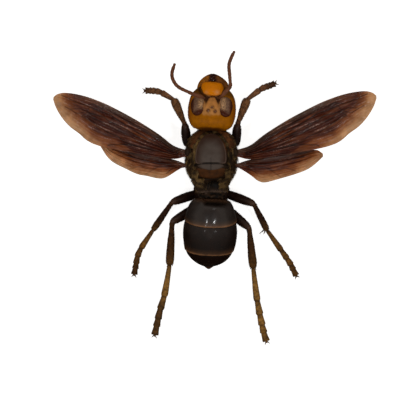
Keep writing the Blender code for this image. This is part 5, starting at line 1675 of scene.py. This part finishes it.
def fringe_hair(sizes, material):
    """Golden tufts beside the metanotum and along the rim of the thorax shield."""
    chance = np.random.default_rng(RANDOM_SEED)
    roots = []
    for side in (-1, 1):
        for low, high, wanted in (((3.2, 4.4), (4.4, 6.4), 1400), ((4.7, 9.4), (5.6, 11.4), 900),
                                  ((1.9, 2.3), (3.5, 4.5), 1500)):
            spots = chance.uniform(low, high, (wanted, 2))
            roots.append(spots * (side, 1))
    angle = chance.uniform(-0.25, math.pi + 0.25, 2200)
    reach = chance.uniform(0.97, 1.07, 2200)
    roots.append(np.column_stack((SCUTUM_HALF_WIDTH * reach * np.cos(angle),
                                  SCUTUM_CENTRE_Y + SCUTUM_HALF_LENGTH * reach * np.sin(angle))))
    flat = np.vstack(roots)
    roots = np.column_stack((flat, back_level(flat) + 0.02))
    step = 0.05
    slope = (back_level(flat + (step, 0)) - back_level(flat - (step, 0))) / (2 * step)
    outward = unit(np.column_stack((-slope, np.zeros(len(flat)), np.ones(len(flat)))))
    comb = np.sign(flat[:, 0])[:, None] * (-0.5, 0.0, 0.0) + 0.8 * BACKWARD
    piece = coat("shield_fringe_hair", roots, outward, comb, sizes.thorax_hair * 0.7,
                 sizes.hair_width * 0.9, 0.6, unwrapped(roots, *THORAX_AXIS), RANDOM_SEED)
    settle(piece, material)


def gaster_hair(sizes, material):
    """Short, sparse hair on the gaster: longer at its front, and thicker there and at its sides."""
    for index, (name, stations) in enumerate(GASTER_RINGS.items()):
        front, rear = (0, *stations[0][:2]), (0, *stations[-1][:2])

        def thickly(roots, outward, end=rear[1]):
            x, y, _ = roots.T
            return np.clip(0.25 + 0.5 * smoothstep(3.0, 5.5, np.abs(x))
                           + 0.8 * smoothstep(-1.0, -0.3, y) + 0.5 * bump_at(y, end + 0.4, 0.4), 0, 1)

        roots, outward = scatter(bpy.data.objects[f"{name}_shell"], GASTER_FRAME, 2600, thickly,
                                 RANDOM_SEED + 10 + index)
        lengths = sizes.leg_hair * (0.7 + 1.2 * smoothstep(-1.2, -0.3, roots[:, 1]))
        piece = coat(f"{name}_hair", roots, outward, BACKWARD, lengths, sizes.hair_width * 0.6, 0.75,
                     unwrapped(roots, front, rear), RANDOM_SEED + 20 + index)
        settle(piece, material, (), GASTER_FRAME)


def head_hair(sizes, material):
    """Very short hair on the head: thickest at its rear rim and sides, little between the eyes."""
    def thickly(roots, outward):
        _, y, z = roots.T
        return np.clip(0.12 + 0.9 * smoothstep(-4.8, -5.5, y) + 0.5 * smoothstep(0.4, -0.8, z)
                       + 0.3 * smoothstep(1.2, 2.6, y), 0, 1)

    roots, outward = scatter(bpy.data.objects["head_shell"], HEAD_FRAME, 7000, thickly,
                             RANDOM_SEED + 40)
    lengths = sizes.leg_hair * (0.45 + 0.5 * smoothstep(0.4, -0.8, roots[:, 2]))
    piece = coat("head_hair", roots, outward, FORWARD, lengths, sizes.hair_width * 0.5, 0.65,
                 unwrapped(roots, (0, -5.8, 0), (0, 5.2, 0)), RANDOM_SEED + 41)
    settle(piece, material, (), HEAD_FRAME)


def leg_hair(sizes, material):
    """Bristles along every leg, shortest on the feet."""
    for index, (name, joints) in enumerate(LEG_JOINTS.items()):
        roots, outward, comb, lengths, places = [], [], [], [], []
        for band, (part, start, end, wanted, share) in enumerate(LEG_COATS):
            found, away = scatter(bpy.data.objects[f"{name}_{part}_shell"], Matrix(), wanted,
                                  lambda spots, facing: np.clip(0.75 - 0.35 * facing[:, 2], 0, 1),
                                  RANDOM_SEED + 50 + 4 * index + band)
            run = np.array(joints[end]) - np.array(joints[start])
            roots.append(found)
            outward.append(away)
            comb.append(np.tile(run / np.linalg.norm(run), (len(found), 1)))
            lengths.append(np.full(len(found), sizes.leg_hair * share))
            spots = unwrapped(found, joints[start], joints[end])
            column = (spots[:, 0] + band) / len(LEG_COATS) * 0.99 + 0.004
            places.append(np.column_stack((column, spots[:, 1])))
        roots = np.vstack(roots)
        high = roots[:, 2] > 0.25
        piece = coat(f"{name}_hair", roots[high], np.vstack(outward)[high], np.vstack(comb)[high],
                     np.concatenate(lengths)[high], sizes.hair_width * 0.75, 0.7,
                     np.vstack(places)[high], RANDOM_SEED + 80 + index)
        settle(piece, material)


def build_coat(sizes, colours):
    """All the hair of the hornet, on every side of it."""
    golden = hair_material("golden_olive_hair", colours.hair, colours.dark_hair)
    brown = hair_material("short_brown_hair", colours.knee, colours.claw)
    thorax_hair(sizes, golden)
    fringe_hair(sizes, golden)
    gaster_hair(sizes, brown)
    head_hair(sizes, brown)
    leg_hair(sizes, brown)


# Stage

def soft_light(name, place, target, size_mm, watts):
    """A square, soft studio light over the hornet."""
    data = bpy.data.lights.new(name, "AREA")
    data.shape = "SQUARE"
    data.size = size_mm * MM
    data.energy = watts
    light = add_object(name, data)
    light.location = TO_MODEL @ Vector(place)
    toward = TO_MODEL @ Vector(target) - light.location
    light.rotation_euler = toward.to_track_quat("-Z", "Y").to_euler()


def build_stage_pieces(colours):
    """The pale floor, the studio light and the camera."""
    deselect_all()
    bpy.ops.mesh.primitive_plane_add(size=FLOOR_SIZE * MM, calc_uvs=False)
    floor = named("studio_floor")
    floor.location.z = -FLOOR_DROP * MM
    # Matt card that shines by itself a little: an even, shadowless white.
    card, _, shader = new_material("white_studio_card")
    set_sockets(shader, {"Base Color": colours.floor, "Roughness": 0.9,
                         "Emission Color": colours.floor, "Emission Strength": FLOOR_GLOW})
    floor.data.materials.append(card)
    floor.visible_diffuse = False
    floor.visible_glossy = False

    world = bpy.data.worlds.new("studio")
    bpy.context.scene.world = world
    world.use_nodes = True
    tree = world.node_tree
    toward = add_node(tree, "ShaderNodeTexCoord").outputs["Generated"]
    level = add_node(tree, "ShaderNodeSeparateXYZ", None, {0: toward}).outputs["Z"]
    ramp = add_node(tree, "ShaderNodeFloatCurve", None, {"Value": level})
    ramp.mapping.clip_min_x = -1.0
    curve = ramp.mapping.curves[0]
    curve.points[0].location, curve.points[1].location = SKY[0], SKY[-1]
    for height, glow in SKY[1:-1]:
        curve.points.new(height, glow)
    ramp.mapping.update()
    tree.links.new(ramp.outputs["Value"], tree.nodes["Background"].inputs["Strength"])
    tree.nodes["Background"].inputs["Color"].default_value = SKY_TINT
    for name, place, size, watts in LIGHTS:
        soft_light(name, place, (0, 0, VIEW_LEVEL), size, watts)

    data = bpy.data.cameras.new("camera")
    data.sensor_width = SENSOR
    data.lens = SENSOR * (CAMERA_HEIGHT - VIEW_LEVEL) / VIEW_WIDTH
    data.clip_end = 100.0
    camera = add_object("camera", data)
    camera.location = TO_MODEL @ Vector((*CAMERA_OVER, CAMERA_HEIGHT))
    bpy.context.scene.camera = camera
    bpy.context.scene.view_settings.view_transform = "Standard"


# Operators and panel

class HornetOperator:
    """What all the building steps share."""

    bl_options = {"REGISTER", "UNDO"}


class HORNET_OT_head(HornetOperator, bpy.types.Operator):
    """Build the head, its eyes, face plate and jaws"""

    bl_idname = "hornet.build_head"
    bl_label = "Build head"

    def execute(self, context):
        """Model and place the pieces."""
        build_head_pieces(context.scene.hornet_sizes, context.scene.hornet_colours)
        return {"FINISHED"}


class HORNET_OT_feelers(HornetOperator, bpy.types.Operator):
    """Build both feelers"""

    bl_idname = "hornet.build_feelers"
    bl_label = "Build feelers"

    def execute(self, context):
        """Model and place the pieces."""
        build_feeler_pieces(context.scene.hornet_sizes, context.scene.hornet_colours)
        return {"FINISHED"}


class HORNET_OT_thorax(HornetOperator, bpy.types.Operator):
    """Build the thorax with the plates of its back, the neck and the waist"""

    bl_idname = "hornet.build_thorax"
    bl_label = "Build thorax"

    def execute(self, context):
        """Model and place the pieces."""
        build_thorax_pieces(context.scene.hornet_sizes, context.scene.hornet_colours)
        return {"FINISHED"}


class HORNET_OT_gaster(HornetOperator, bpy.types.Operator):
    """Build the sections of the gaster"""

    bl_idname = "hornet.build_gaster"
    bl_label = "Build gaster"

    def execute(self, context):
        """Model and place the pieces."""
        build_gaster_pieces(context.scene.hornet_colours)
        return {"FINISHED"}


class HORNET_OT_legs(HornetOperator, bpy.types.Operator):
    """Build the six legs"""

    bl_idname = "hornet.build_legs"
    bl_label = "Build legs"

    def execute(self, context):
        """Model and place the pieces."""
        build_leg_pieces(context.scene.hornet_colours)
        return {"FINISHED"}


class HORNET_OT_wings(HornetOperator, bpy.types.Operator):
    """Build the four wings"""

    bl_idname = "hornet.build_wings"
    bl_label = "Build wings"

    def execute(self, context):
        """Model and place the pieces."""
        build_wing_pieces(context.scene.hornet_sizes, context.scene.hornet_colours)
        return {"FINISHED"}


class HORNET_OT_hair(HornetOperator, bpy.types.Operator):
    """Grow the hair on the finished skin; the other pieces must be there"""

    bl_idname = "hornet.build_hair"
    bl_label = "Build hair"

    def execute(self, context):
        """Model and place the pieces."""
        build_coat(context.scene.hornet_sizes, context.scene.hornet_colours)
        return {"FINISHED"}


class HORNET_OT_stage(HornetOperator, bpy.types.Operator):
    """Set up the floor, the light and the camera"""

    bl_idname = "hornet.build_stage"
    bl_label = "Build stage"

    def execute(self, context):
        """Add the floor, the lights and the camera."""
        build_stage_pieces(context.scene.hornet_colours)
        return {"FINISHED"}


STEPS = (HORNET_OT_head, HORNET_OT_feelers, HORNET_OT_thorax, HORNET_OT_gaster, HORNET_OT_legs,
         HORNET_OT_wings, HORNET_OT_hair, HORNET_OT_stage)


class HORNET_PT_panel(bpy.types.Panel):
    """The building steps and their settings"""

    bl_idname = "HORNET_PT_panel"
    bl_label = "Giant Hornet"
    bl_space_type = "VIEW_3D"
    bl_region_type = "UI"
    bl_category = "Hornet"

    def draw(self, context):
        """List the steps in order, then the sizes and colours."""
        column = self.layout.column(align=True)
        for step in STEPS:
            column.operator(step.bl_idname)
        for group in (context.scene.hornet_sizes, context.scene.hornet_colours):
            column = self.layout.column()
            for name in group.__annotations__:
                column.prop(group, name)


CLASSES = (HornetSizes, HornetColours, *STEPS, HORNET_PT_panel)


def register():
    """Add the classes and the scene's settings to Blender."""
    for entry in CLASSES:
        bpy.utils.register_class(entry)
    bpy.types.Scene.hornet_sizes = bpy.props.PointerProperty(type=HornetSizes)
    bpy.types.Scene.hornet_colours = bpy.props.PointerProperty(type=HornetColours)


def unregister():
    """Take the settings and classes out again."""
    del bpy.types.Scene.hornet_colours
    del bpy.types.Scene.hornet_sizes
    for entry in reversed(CLASSES):
        bpy.utils.unregister_class(entry)


def main():
    """Build the whole hornet and its stage."""
    register()
    bpy.ops.hornet.build_head()
    bpy.ops.hornet.build_feelers()
    bpy.ops.hornet.build_thorax()
    bpy.ops.hornet.build_gaster()
    bpy.ops.hornet.build_legs()
    bpy.ops.hornet.build_wings()
    bpy.ops.hornet.build_hair()
    bpy.ops.hornet.build_stage()


if __name__ == "__main__":
    main()
